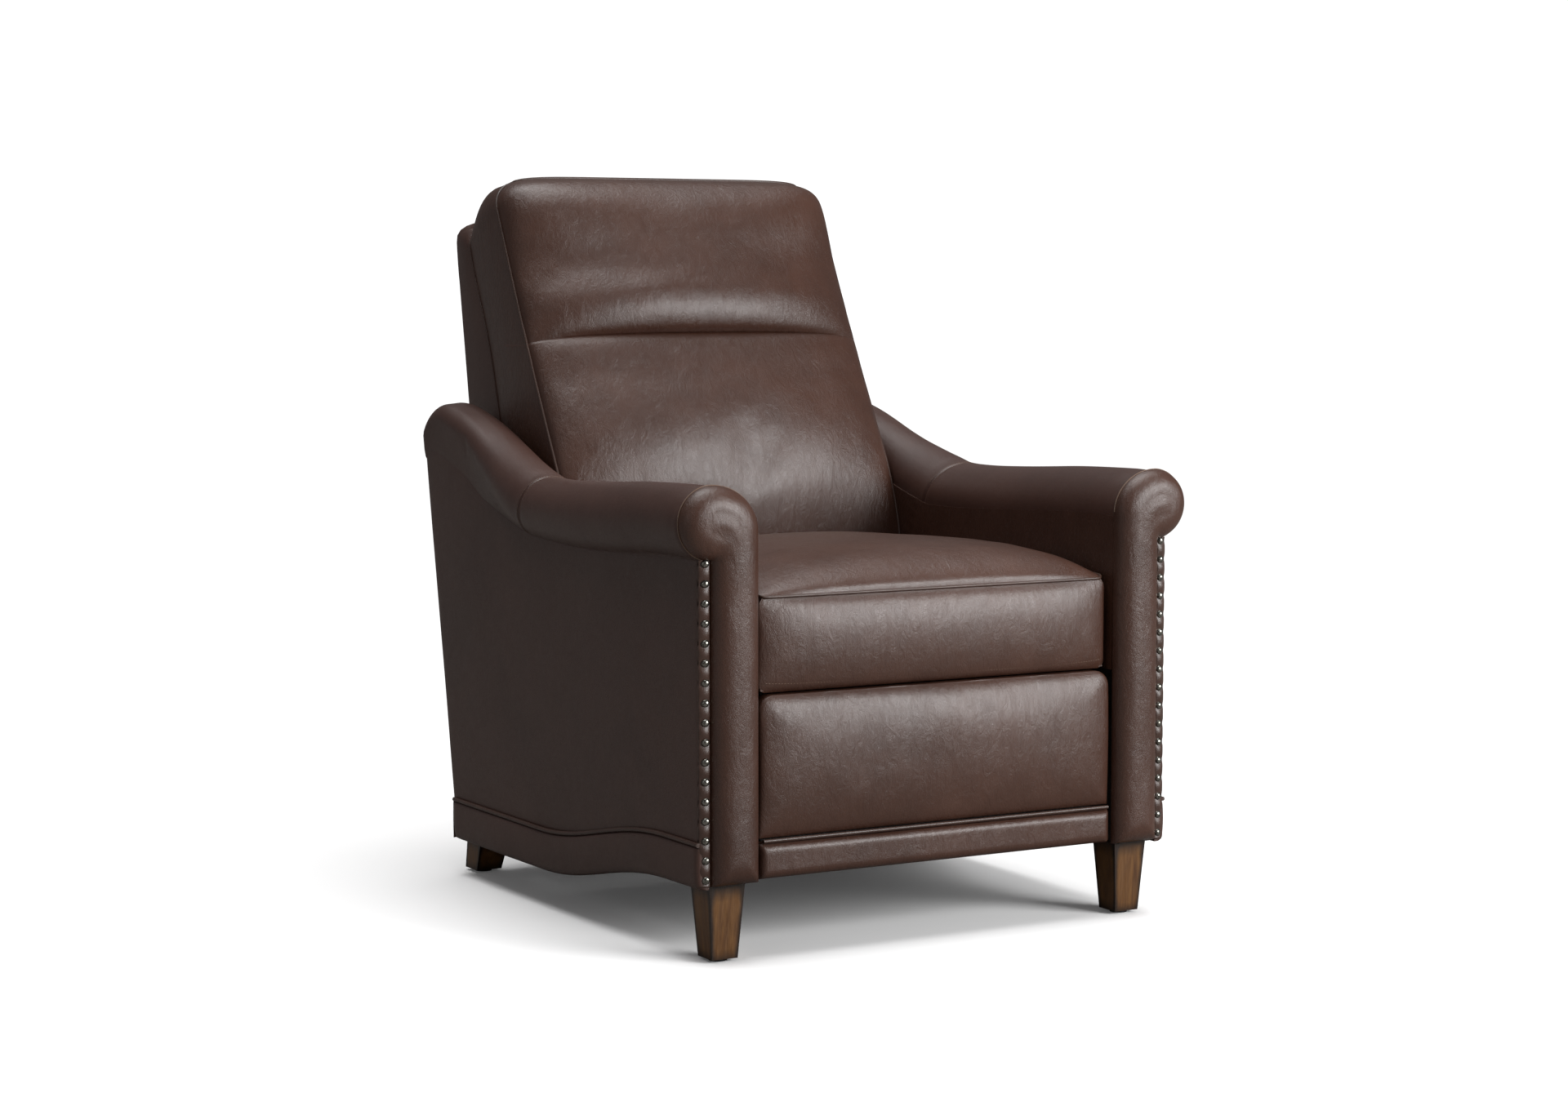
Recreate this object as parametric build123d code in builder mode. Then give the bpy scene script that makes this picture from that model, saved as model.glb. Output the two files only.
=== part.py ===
"""High-leg push-back recliner armchair with rolled arms, as an assembly of separate pieces, in millimetres.

The chair stands on the floor at Z 0, in the middle of its outline. The sitter faces -Y, and the sitter's left
is +X. Side views are drawn as (depth, height): depth is the distance behind the front plane of the arm posts,
and row() turns it into a Y. Pieces that come in pairs are drawn on the +X side and mirrored.
"""

import os
from math import atan2, cos, degrees, hypot, radians, sin, sqrt

from build123d import *

os.makedirs("parts", exist_ok=True)

# Overall size
overall_depth = 980
post_bulge = 25  # how far the padded arm fronts stand in front of the post plane
front_y = -overall_depth / 2 + post_bulge
gap = 0.5  # room left between upholstered pieces that touch

# Arms
arm_outer = 366
arm_inner = 281
panel = 14  # thickness of an upholstered panel
post_inner = 280.5
post_outer = 349.5
post_radius = 15  # rounding of the padded arm front
scroll_depth = 16
roll_centre_x = 347
roll_radius = 48
roll_centre = 571  # height of the roll's centre at the front
roll_drop = 46  # from the roll's centre down to the panels that it sits on
roll_front = 4
roll_path = [(466, 557), (575, 553.7), (730, 652), (872, 650)]  # curve of its centre, behind the seam
roll_corner = [(865, 632), (852, 681), (805, 700)]  # rounding of the arm's rear corner
rear_edge_foot = 773  # depth of the arm's leaning rear edge above the band
rear_edge_lean = 0.18
inside_bottom = 345

# Nails
nail_x = 358
nail_top = 520
nail_spacing = 25.4
nail_count = 17
nail_radius = 5.3
nail_height = 2.6
strip_front = -1

# Base
base_bottom = 102
rear_drop = 48  # how much lower the base is at the rear than at the front
drop_start = 90
drop_end = 470
base_rear = 760
band_height = 55
band_groove = 5
band_outer = 369
welt_radius = 2.35

# Wooden frame inside the arms
frame_inner = 296
frame_outer = 351
post_frame = (5, 60)  # depth of the front posts
rear_frame = (700, 743)
side_rail_height = (110, 214)
arm_board_height = (488, 508)
stretcher_depth = (400, 440)

# Legs
leg_x = 319
front_leg_depth = 37
rear_leg_depth = 743
leg_top_width = 52
leg_foot_width = 38
rear_leg_top = 54
rear_leg_rake = 19
glide_height = 4
glide_radius = 12
bolt_radius = 4

# Mechanism: the planes of its flat bars, counted from the middle of the chair outwards
bar_thickness = 4
bar_width = 20
pin_radius = 4
hole_radius = 4.05
plate_x = 274
swing_x = 265
rail_x = 258
drive_x = 251
carrier_x = 244
tilt_x = 237
bracket_x = 230

# Mechanism: pivots as (depth, height)
swing_length = 100
swing_lean = 25
swing_feet = [(260, 180), (500, 180)]
plate_screws = [(300, 166), (460, 166), (350, 192), (410, 192)]
drive_pivot = (150, 305)
drive_length = 230
drive_angle = 116  # below the forward horizontal, at rest
idler_offset = (90, -15)
crank = 45
footrest_pivot = (95, 215)
tube_distance = 50
recline_pivot = (640, 318)

# Seat
seat_half_width = 272
seat_bottom = 350
seat_crown = 520
seat_front = 6
seat_rear = 538
seat_frame_half = 256
seat_frame_bottom = 322
seat_frame_depth = (50, 535)
seat_window = (112, 474)
seat_window_half = 190
wire_radius = 2

# Footrest
footrest_half_width = 272
footrest_front = -8
footrest_back = 42
footrest_bottom = 106
footrest_top = 340
footrest_split = 156
board_thickness = 16

# Backrest: side outlines
back_half_width = 272
shell_wall = 12
shell_rear = [(825.4, 180), (948, 902)]
shell_corner = [(950, 938), (916, 963)]
shell_front = [(900, 958), (885, 906), (825, 778), (787, 651), (760, 400), (745, 180)]
lumbar_front = [(553, 430), (552, 521), (541, 600), (580, 697), (648, 788)]
head_front = [
    (648, 790),
    (664, 860),
    (700, 958),
    (748, 1024),
    (790, 1031),
    (840, 1002),
    (874, 970),
    (899, 959),
]
head_rear = [(884.5, 907), (827, 783)]
lumbar_rear = [(825, 779), (786.5, 651), (759.5, 400)]
back_frame_half = 250.5
back_frame_height = (245, 893)
back_frame_board = 24


def row(depth):
    """The Y of a point that lies depth millimetres behind the front plane of the arm posts."""
    return front_y + depth


def write(solids, name):
    """Writes one finished piece as parts/name.step."""
    solids.label = name
    export_step(solids, f"parts/{name}.step")


def write_pair(solids, name):
    """Writes a piece drawn on the sitter's left, and its mirror image on the right."""
    write(solids, f"{name}_left")
    write(mirror(solids, about=Plane.YZ), f"{name}_right")


def side_plane(x):
    """A side view at x: its own axes are depth and height, and it extrudes towards +X."""
    return Plane(origin=(x, front_y, 0), x_dir=(0, 1, 0), z_dir=(1, 0, 0))


def front_plane(depth):
    """A front view at that depth: its own axes are X and height, and it extrudes forwards."""
    return Plane(origin=(0, row(depth), 0), x_dir=(1, 0, 0), z_dir=(0, -1, 0))


def swung(pivot, length, angle):
    """The end of a bar that hangs from pivot, turned angle degrees down from pointing forwards."""
    return (pivot[0] - length * cos(radians(angle)), pivot[1] - length * sin(radians(angle)))


def shifted(point, offset):
    return (point[0] + offset[0], point[1] + offset[1])


def middle(pair):
    return (pair[0] + pair[1]) / 2


def block(x_range, depth_range, height_range):
    """A plain block between two values of X, of depth and of height."""
    with Locations((middle(x_range), row(middle(depth_range)), middle(height_range))):
        Box(x_range[1] - x_range[0], depth_range[1] - depth_range[0], height_range[1] - height_range[0])


def rear_edge(height):
    """Depth of the arm's leaning rear edge at that height."""
    return rear_edge_foot + rear_edge_lean * (height - base_bottom - 12)


def shell_rear_at(height):
    """Depth of the backrest's rear face at that height."""
    slope = (shell_rear[1][0] - shell_rear[0][0]) / (shell_rear[1][1] - shell_rear[0][1])
    return shell_rear[0][0] + slope * (height - shell_rear[0][1])


def wave(rise, front=roll_front, rear=base_rear):
    """The line of the base's lower edge, moved up by rise: level, down in an S, then level to the rear."""
    high = base_bottom + rise
    low = base_bottom - rear_drop + rise
    reach = (drop_end - drop_start) / 2.6
    Line((front, high), (drop_start, high))
    Bezier((drop_start, high), (drop_start + reach, high), (drop_end - reach, low), (drop_end, low))
    Line((drop_end, low), (rear, low))


def roll_point(t, drop):
    """A point at share t of the arm's rear rise, drop millimetres below the roll's centre line."""
    a, b, c, d = roll_path
    shares = [(1 - t) ** 3, 3 * t * (1 - t) ** 2, 3 * t * t * (1 - t), t**3]
    depth = sum(share * point[0] for share, point in zip(shares, (a, b, c, d)))
    height = sum(share * point[1] for share, point in zip(shares, (a, b, c, d)))
    slopes = [(1 - t) ** 2, 2 * t * (1 - t), t * t]
    run = sum(share * (q[0] - p[0]) for share, p, q in zip(slopes, (a, b, c), (b, c, d)))
    rise = sum(share * (q[1] - p[1]) for share, p, q in zip(slopes, (a, b, c), (b, c, d)))
    length = hypot(run, rise)
    return (depth + drop * rise / length, height - drop * run / length)


def behind_the_arm(mode=Mode.SUBTRACT):
    """The region behind the arm's rear edge and its rounded top corner, in a side view."""
    with BuildLine() as region:
        Polyline((rear_edge(0), 0), (rear_edge(610), 610), roll_corner[0])
        ThreePointArc(*roll_corner)
        Polyline(roll_corner[2], (760, 800), (1100, 800), (1100, 0), (rear_edge(0), 0))
    make_face(region.edges(), mode=mode)


def arm_outline(bottom=None):
    """Side outline of an arm panel, from the base band, or the height called bottom, up to the roll."""
    foot = base_bottom + band_height + band_groove
    with BuildLine() as outline:
        wave(band_height + band_groove, rear=900)
        Line((900, foot - rear_drop), roll_point(1, roll_drop))
        Spline(*[roll_point(1 - step / 10, roll_drop) for step in range(11)])
        Line(roll_point(0, roll_drop), (roll_front, roll_centre - roll_drop))
        Line((roll_front, roll_centre - roll_drop), (roll_front, foot))
    make_face(outline.edges())
    behind_the_arm()
    if bottom:
        with Locations((450, bottom / 2)):
            Rectangle(1000, bottom, mode=Mode.SUBTRACT)


def roll_section():
    """Front view of the arm's roll: a scroll on the outside, a flat seat and a rounded inner shoulder."""
    low = roll_centre - roll_drop + gap
    reach = arm_outer + gap - roll_centre_x
    with BuildLine() as outline:
        Line((arm_inner + gap, low), (arm_outer - 1, low))
        Line((arm_outer - 1, low), (arm_outer + gap, roll_centre - sqrt(roll_radius**2 - reach**2)))
        ThreePointArc(
            (arm_outer + gap, roll_centre - sqrt(roll_radius**2 - reach**2)),
            (roll_centre_x + roll_radius, roll_centre),
            (roll_centre_x, roll_centre + roll_radius),
        )
        ThreePointArc((roll_centre_x, roll_centre + roll_radius), (300, 604), (arm_inner + gap, 562))
        Line((arm_inner + gap, 562), (arm_inner + gap, low))
    make_face(outline.edges())


def bar(start, end, width=bar_width):
    """Outline of a flat bar with round ends, from one pivot to another."""
    length = hypot(end[0] - start[0], end[1] - start[1])
    angle = degrees(atan2(end[1] - start[1], end[0] - start[0]))
    with Locations(shifted(start, ((end[0] - start[0]) / 2, (end[1] - start[1]) / 2))):
        SlotCenterToCenter(length, width, rotation=angle)


def pin_holes(*pivots):
    with Locations(*pivots):
        Circle(hole_radius, mode=Mode.SUBTRACT)


def pins(x_low, x_high, *pivots):
    """Headed pivot pins that pass through the bars between x_low and x_high."""
    with BuildSketch(side_plane(x_low - 1)) as shanks:
        with Locations(*pivots):
            Circle(pin_radius)
    extrude(shanks.sketch, amount=x_high - x_low + 2)
    for x in (x_low - 2.4, x_high + 1):
        with BuildSketch(side_plane(x)) as heads:
            with Locations(*pivots):
                Circle(pin_radius + 2.5)
        extrude(heads.sketch, amount=1.4)


def zigzag(plane, start, end, swing, turns):
    """A sinuous wire spring in a plane, from start to end, swinging to both sides of their line."""
    length = hypot(end[0] - start[0], end[1] - start[1])
    along = ((end[0] - start[0]) / length, (end[1] - start[1]) / length)
    step = length / (turns + 1)
    points = [start]
    for turn in range(turns):
        side = swing if turn % 2 else -swing
        for offset in (0.25, 1.0):
            reach = step * (turn + offset)
            across = start[0] + along[0] * reach - along[1] * side
            up = start[1] + along[1] * reach + along[0] * side
            points.append((across, up))
    points.append(end)
    with BuildLine(plane) as path:
        FilletPolyline(*points, radius=step * 0.3)
    with BuildSketch(Plane(origin=path.line @ 0, z_dir=path.line % 0)) as section:
        Circle(wire_radius)
    sweep(section.sketch, path=path.line)


drive_tip = swung(drive_pivot, drive_length, drive_angle)
crank_tip = swung(drive_pivot, drive_length - crank, drive_angle)
tube_centre = swung(drive_pivot, tube_distance, drive_angle)
idler_pivot = shifted(drive_pivot, idler_offset)
idler_tip = shifted(drive_tip, idler_offset)
tilt_end = shifted(footrest_pivot, (crank_tip[0] - drive_tip[0], crank_tip[1] - drive_tip[1]))
swing_offset = (swing_length * sin(radians(swing_lean)), swing_length * cos(radians(swing_lean)))
swing_heads = [shifted(foot, swing_offset) for foot in swing_feet]

# ---------------------------------------------------------------- legs

with BuildPart() as leg_front:
    with BuildSketch(Plane.XY.offset(base_bottom)):
        with Locations((leg_x, row(front_leg_depth))):
            Rectangle(leg_top_width, leg_top_width)
    with BuildSketch(Plane.XY.offset(glide_height)):
        with Locations((leg_x, row(front_leg_depth))):
            Rectangle(leg_foot_width, leg_foot_width)
    loft()
    with Locations((leg_x, row(front_leg_depth), base_bottom)):
        Hole(bolt_radius + 0.05, depth=30)
write_pair(leg_front.part, "leg_front")

with BuildPart() as leg_rear:
    with BuildSketch(Plane.XY.offset(rear_leg_top)):
        with Locations((leg_x, row(rear_leg_depth))):
            Rectangle(leg_top_width - 5, leg_top_width - 5)
    with BuildSketch(Plane.XY.offset(glide_height)):
        with Locations((leg_x, row(rear_leg_depth + rear_leg_rake))):
            Rectangle(leg_foot_width + 2, leg_foot_width + 2)
    loft()
    with Locations((leg_x, row(rear_leg_depth), rear_leg_top)):
        Hole(bolt_radius + 0.05, depth=24)
write_pair(leg_rear.part, "leg_rear")

with BuildPart() as leg_glides:
    with BuildSketch(Plane.XY):
        with Locations((leg_x, row(front_leg_depth)), (leg_x, row(rear_leg_depth + rear_leg_rake))):
            Circle(glide_radius)
    extrude(amount=glide_height)
    mirror(about=Plane.YZ)
write(leg_glides.part, "leg_glides")

with BuildPart() as leg_bolts:
    bolt_places = ((front_leg_depth, base_bottom - 28, 66), (rear_leg_depth, rear_leg_top - 22, 66))
    for depth, low, length in bolt_places:
        with BuildSketch(Plane.XY.offset(low)):
            with Locations((leg_x, row(depth))):
                Circle(bolt_radius)
        extrude(amount=length)
    mirror(about=Plane.YZ)
write(leg_bolts.part, "leg_bolts")

# ---------------------------------------------------------------- wooden frame

with BuildPart() as corner_blocks:
    block((frame_inner, frame_outer), post_frame, (base_bottom, 150))
    block((frame_inner, frame_outer), (722, 762), (rear_leg_top, 100))
    for depth in (front_leg_depth, rear_leg_depth):
        with Locations((leg_x, row(depth), 100)):
            Cylinder(bolt_radius + 0.05, 200, mode=Mode.SUBTRACT)
    mirror(about=Plane.YZ)
write(corner_blocks.part, "corner_blocks")

with BuildPart() as side_frame:
    block((frame_inner, frame_outer), post_frame, (150 + gap, 518))
    block((frame_inner, frame_outer), (post_frame[1] + gap, rear_frame[0] - gap), side_rail_height)
    block((frame_inner, frame_outer), (post_frame[1] + gap, rear_frame[0] - gap), arm_board_height)
    block((frame_inner, frame_outer), rear_frame, (side_rail_height[0], 560))
    with BuildSketch(side_plane(frame_inner - 1)):
        with Locations(*plate_screws):
            Circle(2.55)
    extrude(amount=30, mode=Mode.SUBTRACT)
write_pair(side_frame.part, "side_frame")

with BuildPart() as cross_stretcher:
    block((-frame_inner + gap, frame_inner - gap), stretcher_depth, (112, 146))
write(cross_stretcher.part, "cross_stretcher")

with BuildPart() as rear_rail:
    block((-frame_inner + gap, frame_inner - gap), (722, 742), (58, 106))
write(rear_rail.part, "rear_rail")

# ---------------------------------------------------------------- arms

with BuildPart() as outside_arm:
    with BuildSketch(side_plane(arm_outer - panel)):
        arm_outline()
    extrude(amount=panel)
    with BuildSketch(side_plane(frame_inner)):
        with BuildLine() as strip:
            Polyline(
                (rear_edge(118), 118),
                (rear_edge(585), 585),
                (rear_edge(585) - panel, 585),
                (rear_edge(118) - panel, 118),
                close=True,
            )
        make_face()
    extrude(amount=arm_outer - panel - frame_inner)
write_pair(outside_arm.part, "outside_arm")

with BuildPart() as inside_arm:
    with BuildSketch(side_plane(arm_inner)):
        arm_outline(bottom=inside_bottom)
    extrude(amount=panel)
write_pair(inside_arm.part, "inside_arm")

with BuildPart() as arm_roll:
    with BuildLine(side_plane(roll_centre_x)) as centre_line:
        Line((roll_front, roll_centre), roll_path[0])
        Bezier(*roll_path)
    with BuildSketch(front_plane(roll_front)) as section:
        roll_section()
    sweep(section.sketch, path=centre_line.line)
    with BuildSketch(side_plane(arm_inner - 5)):
        behind_the_arm(mode=Mode.ADD)
    extrude(amount=200, mode=Mode.SUBTRACT)
write_pair(arm_roll.part, "arm_roll")

with BuildPart() as arm_front:
    block((post_inner, post_outer), (-post_bulge, roll_front - gap), (base_bottom + 3, roll_centre - 20))
    fillet(arm_front.edges().filter_by(Axis.Z).group_by(Axis.Y)[0], radius=post_radius)
    fillet(arm_front.faces().sort_by(Axis.Z)[-1].edges().sort_by(Axis.Y)[0], radius=post_radius / 2)
    with BuildSketch(front_plane(roll_front - gap)):
        roll_section()
    extrude(amount=scroll_depth)
write_pair(arm_front.part, "arm_front")

with BuildPart() as nail_strip:
    with BuildSketch(front_plane(roll_front - gap)):
        with Locations(((350 + arm_outer) / 2, (base_bottom + 3 + 525) / 2)):
            Rectangle(arm_outer - 350, 525 - base_bottom - 3)
        with Locations((roll_centre_x, roll_centre)):
            Circle(roll_radius + gap, mode=Mode.SUBTRACT)
        for step in range(nail_count):
            with Locations((nail_x, nail_top - step * nail_spacing)):
                Circle(1.05, mode=Mode.SUBTRACT)
    extrude(amount=roll_front - gap - strip_front)
write_pair(nail_strip.part, "nail_strip")

with BuildPart() as nail:
    Cylinder(nail_radius, nail_height, align=(Align.CENTER, Align.CENTER, Align.MIN))
    fillet(nail.edges().sort_by(Axis.Z)[-1], radius=2)
    with Locations((0, 0, -4)):
        Cylinder(1, 4.5, align=(Align.CENTER, Align.CENTER, Align.MIN))

with BuildPart() as nailheads:
    for step in range(nail_count):
        height = nail_top - step * nail_spacing
        with Locations(Location((nail_x, row(strip_front), height), (90, 0, 0))):
            add(nail.part)
write_pair(nailheads.part, "nailheads")

# ---------------------------------------------------------------- base bands

with BuildPart() as base_band:
    with BuildSketch(side_plane(frame_outer + gap)):
        with BuildLine() as outline:
            wave(0)
            Line((base_rear, base_bottom - rear_drop), (base_rear, base_bottom - rear_drop + band_height))
            wave(band_height)
            Line((roll_front, base_bottom), (roll_front, base_bottom + band_height))
        make_face(outline.edges())
    extrude(amount=band_outer - frame_outer - gap)
write_pair(base_band.part, "base_band")

with BuildPart() as band_welt:
    with BuildLine(side_plane(arm_outer)) as path:
        wave(band_height + band_groove / 2)
    with BuildSketch(front_plane(roll_front)) as section:
        with Locations((arm_outer, base_bottom + band_height + band_groove / 2)):
            Circle(welt_radius)
    sweep(section.sketch, path=path.line)
write_pair(band_welt.part, "band_welt")

with BuildPart() as rear_band:
    block((-frame_inner + gap, frame_inner - gap), (742 + gap, base_rear), (rear_leg_top, 110))
write(rear_band.part, "rear_band")

# ---------------------------------------------------------------- swing links that carry the seat

with BuildPart() as mounting_plate:
    with BuildSketch(side_plane(plate_x)):
        with Locations((380, 178)):
            RectangleRounded(286, 50, 12)
    extrude(amount=bar_thickness)
    with BuildSketch(side_plane(plate_x)):
        with Locations(*plate_screws):
            Circle(7)
    extrude(amount=frame_inner - plate_x)
    pins(swing_x, plate_x + bar_thickness, *swing_feet)
    with BuildSketch(side_plane(plate_x - 1)):
        with Locations(*plate_screws):
            Circle(2.55)
    extrude(amount=40, mode=Mode.SUBTRACT)
write_pair(mounting_plate.part, "mounting_plate")

with BuildPart() as mounting_screws:
    with BuildSketch(side_plane(plate_x - 2)):
        with Locations(*plate_screws):
            Circle(4.5)
    extrude(amount=2)
    with BuildSketch(side_plane(plate_x - 2)):
        with Locations(*plate_screws):
            Circle(2.5)
    extrude(amount=46)
    mirror(about=Plane.YZ)
write(mounting_screws.part, "mounting_screws")

for name, foot, head in zip(("front", "rear"), swing_feet, swing_heads):
    with BuildPart() as swing_links:
        with BuildSketch(side_plane(swing_x)):
            bar(foot, head)
            pin_holes(foot, head)
        extrude(amount=bar_thickness)
        mirror(about=Plane.YZ)
    write(swing_links.part, f"{name}_swing_links")

# ---------------------------------------------------------------- seat

with BuildPart() as seat_rail:
    with BuildSketch(side_plane(rail_x)):
        bar((150, 300), (640, 300), width=44)
        bar((640, 300), recline_pivot, width=32)
        bar(shifted(swing_heads[0], (-40, 5)), shifted(swing_heads[1], (40, 5)), width=34)
    extrude(amount=bar_thickness)
    block((rail_x - 22, rail_x), (165, 540), (seat_frame_bottom - bar_thickness, seat_frame_bottom))
    pins(rail_x, swing_x + bar_thickness, *swing_heads)
    pins(drive_x, rail_x + bar_thickness, drive_pivot, idler_pivot, recline_pivot)
write_pair(seat_rail.part, "seat_rail")

with BuildPart() as seat_frame:
    block(
        (-seat_frame_half, seat_frame_half),
        seat_frame_depth,
        (seat_frame_bottom, seat_frame_bottom + 22),
    )
    with Locations((0, row(middle(seat_window)), seat_frame_bottom + 11)):
        Box(2 * seat_window_half, seat_window[1] - seat_window[0], 60, mode=Mode.SUBTRACT)
write(seat_frame.part, "seat_frame")

with BuildPart() as seat_springs:
    for x in (-152, -76, 0, 76, 152):
        zigzag(
            Plane(origin=(x, front_y, seat_frame_bottom + 14), x_dir=(0, 1, 0), z_dir=(0, 0, 1)),
            (seat_window[0] + 2.5, 0),
            (seat_window[1] - 2.5, 0),
            22,
            8,
        )
write(seat_springs.part, "seat_springs")

with BuildPart() as seat_deck:
    block((-250, 250), seat_frame_depth, (seat_frame_bottom + 22, seat_bottom - gap))
write(seat_deck.part, "seat_deck")

with BuildPart() as seat_cushion:
    block((-seat_half_width, seat_half_width), (seat_front, seat_rear), (seat_bottom, seat_crown))
    fillet(seat_cushion.faces().sort_by(Axis.Z)[-1].edges(), radius=28)
    fillet(seat_cushion.faces().sort_by(Axis.Z)[0].edges(), radius=12)
write(seat_cushion.part, "seat_cushion")

# ---------------------------------------------------------------- backrest

with BuildPart() as back_shell:
    with BuildSketch(side_plane(-back_half_width)):
        with BuildLine() as outline:
            Polyline(shell_front[-1], shell_rear[0], shell_rear[1])
            ThreePointArc(shell_rear[1], *shell_corner)
            Polyline(shell_corner[1], *shell_front)
        make_face(outline.edges())
    extrude(amount=2 * back_half_width)
    with BuildSketch(side_plane(-back_half_width + shell_wall)):
        with BuildLine():
            Polyline(
                (600, 150),
                (shell_rear_at(150) - shell_wall, 150),
                (shell_rear_at(900) - shell_wall, 900),
                (shell_rear_at(945) - shell_wall - 12, 945),
                (600, 945),
                close=True,
            )
        make_face()
    extrude(amount=2 * (back_half_width - shell_wall), mode=Mode.SUBTRACT)
write(back_shell.part, "back_shell")

back_inner_x = back_frame_half - back_frame_board
with BuildPart() as back_frame:
    with BuildSketch(side_plane(-back_frame_half)):
        with BuildLine():
            Polyline(
                (shell_rear_at(back_frame_height[0]) - shell_wall - gap, back_frame_height[0]),
                (shell_rear_at(back_frame_height[1]) - shell_wall - 3, back_frame_height[1]),
                (shell_rear_at(back_frame_height[1]) - shell_wall - 25, back_frame_height[1]),
                (shell_rear_at(back_frame_height[0]) - shell_wall - 25, back_frame_height[0]),
                close=True,
            )
        make_face()
    extrude(amount=2 * back_frame_half)
    with Locations((0, row(850), (320 + 850) / 2)):
        Box(2 * back_inner_x, 400, 850 - 320, mode=Mode.SUBTRACT)
write(back_frame.part, "back_frame")

with BuildPart() as back_springs:
    for height in (430, 540, 650, 760):
        zigzag(
            Plane(
                origin=(0, row(shell_rear_at(height) - shell_wall - 14), height),
                x_dir=(1, 0, 0),
                z_dir=(0, -1, 0),
            ),
            (-back_inner_x + 2.5, 0),
            (back_inner_x - 2.5, 0),
            20,
            8,
        )
write(back_springs.part, "back_springs")

with BuildPart() as back_bracket:
    elbow = (shell_rear_at(340) - shell_wall - 17, 340)
    with BuildSketch(side_plane(drive_x)):
        bar(recline_pivot, elbow, width=30)
        bar(elbow, (shell_rear_at(560) - shell_wall - 13, 560), width=22)
        pin_holes(recline_pivot)
    extrude(amount=bar_thickness)
write_pair(back_bracket.part, "back_bracket")

with BuildPart() as lumbar_cushion:
    with BuildSketch(side_plane(-back_half_width)):
        with BuildLine() as outline:
            Spline(*lumbar_front)
            Line(lumbar_front[-1], lumbar_rear[0])
            Polyline(*lumbar_rear)
            Line(lumbar_rear[-1], lumbar_front[0])
        make_face(outline.edges())
    extrude(amount=2 * back_half_width)
write(lumbar_cushion.part, "lumbar_cushion")

with BuildPart() as head_cushion:
    with BuildSketch(side_plane(-back_half_width)):
        with BuildLine() as outline:
            Spline(*head_front)
            Line(head_front[-1], head_rear[0])
            Line(head_rear[0], head_rear[1])
            Line(head_rear[1], head_front[0])
        make_face(outline.edges())
    extrude(amount=2 * back_half_width)
write(head_cushion.part, "head_cushion")

# ---------------------------------------------------------------- footrest linkage

with BuildPart() as drive_links:
    with BuildSketch(side_plane(drive_x)):
        bar(drive_pivot, drive_tip)
        pin_holes(drive_pivot)
    extrude(amount=bar_thickness)
    pins(carrier_x, drive_x + bar_thickness, drive_tip)
    pins(tilt_x, drive_x + bar_thickness, crank_tip)
    mirror(about=Plane.YZ)
write(drive_links.part, "drive_links")

with BuildPart() as torque_tube:
    with BuildSketch(side_plane(-drive_x)):
        with Locations(Location((tube_centre[0], tube_centre[1], 0), (0, 0, 180 - drive_angle))):
            RectangleRounded(18, 18, 3)
            RectangleRounded(14, 14, 2, mode=Mode.SUBTRACT)
    extrude(amount=2 * drive_x)
write(torque_tube.part, "torque_tube")

with BuildPart() as idler_links:
    with BuildSketch(side_plane(drive_x)):
        bar(idler_pivot, idler_tip)
        pin_holes(idler_pivot)
    extrude(amount=bar_thickness)
    pins(carrier_x, drive_x + bar_thickness, idler_tip)
    mirror(about=Plane.YZ)
write(idler_links.part, "idler_links")

with BuildPart() as carrier_links:
    with BuildSketch(side_plane(carrier_x)):
        bar(idler_tip, drive_tip)
        bar(drive_tip, footrest_pivot)
        pin_holes(idler_tip, drive_tip)
    extrude(amount=bar_thickness)
    pins(bracket_x, carrier_x + bar_thickness, footrest_pivot)
    mirror(about=Plane.YZ)
write(carrier_links.part, "carrier_links")

with BuildPart() as tilt_links:
    with BuildSketch(side_plane(tilt_x)):
        bar(crank_tip, tilt_end)
        pin_holes(crank_tip)
    extrude(amount=bar_thickness)
    pins(bracket_x, tilt_x + bar_thickness, tilt_end)
    mirror(about=Plane.YZ)
write(tilt_links.part, "tilt_links")

# ---------------------------------------------------------------- footrest

with BuildPart() as footrest_bracket:
    with BuildSketch(side_plane(bracket_x)):
        bar(footrest_pivot, tilt_end, width=24)
        bar(footrest_pivot, (footrest_back + 12, footrest_pivot[1]), width=24)
        bar(tilt_end, (footrest_back + 12, tilt_end[1]), width=24)
        with Locations((footrest_back + 2, middle((footrest_pivot[1], tilt_end[1])))):
            Rectangle(4, 110)
        with Locations((footrest_back + 8, middle((footrest_pivot[1], tilt_end[1])))):
            Rectangle(14, 60)
        with Locations((footrest_back - 10, 235)):
            Rectangle(20, 200, mode=Mode.SUBTRACT)
        pin_holes(footrest_pivot, tilt_end)
    extrude(amount=bar_thickness)
    block((bracket_x - 28, bracket_x), (footrest_back, footrest_back + 4), (180, 290))
write_pair(footrest_bracket.part, "footrest_bracket")

board_front = footrest_back - board_thickness
with BuildPart() as footrest_board:
    block((-262, 262), (board_front, footrest_back), (footrest_bottom + 5, footrest_top - 6))
write(footrest_board.part, "footrest_board")

with BuildPart() as footrest_pad:
    block(
        (-footrest_half_width, footrest_half_width),
        (footrest_front, board_front - gap),
        (footrest_split + welt_radius + 0.5, footrest_top),
    )
    fillet(footrest_pad.edges().filter_by(Axis.Y).group_by(Axis.Z)[-1], radius=25)
    fillet(footrest_pad.faces().sort_by(Axis.Y)[0].edges().group_by(Axis.Z)[1:], radius=10)
write(footrest_pad.part, "footrest_pad")

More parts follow.
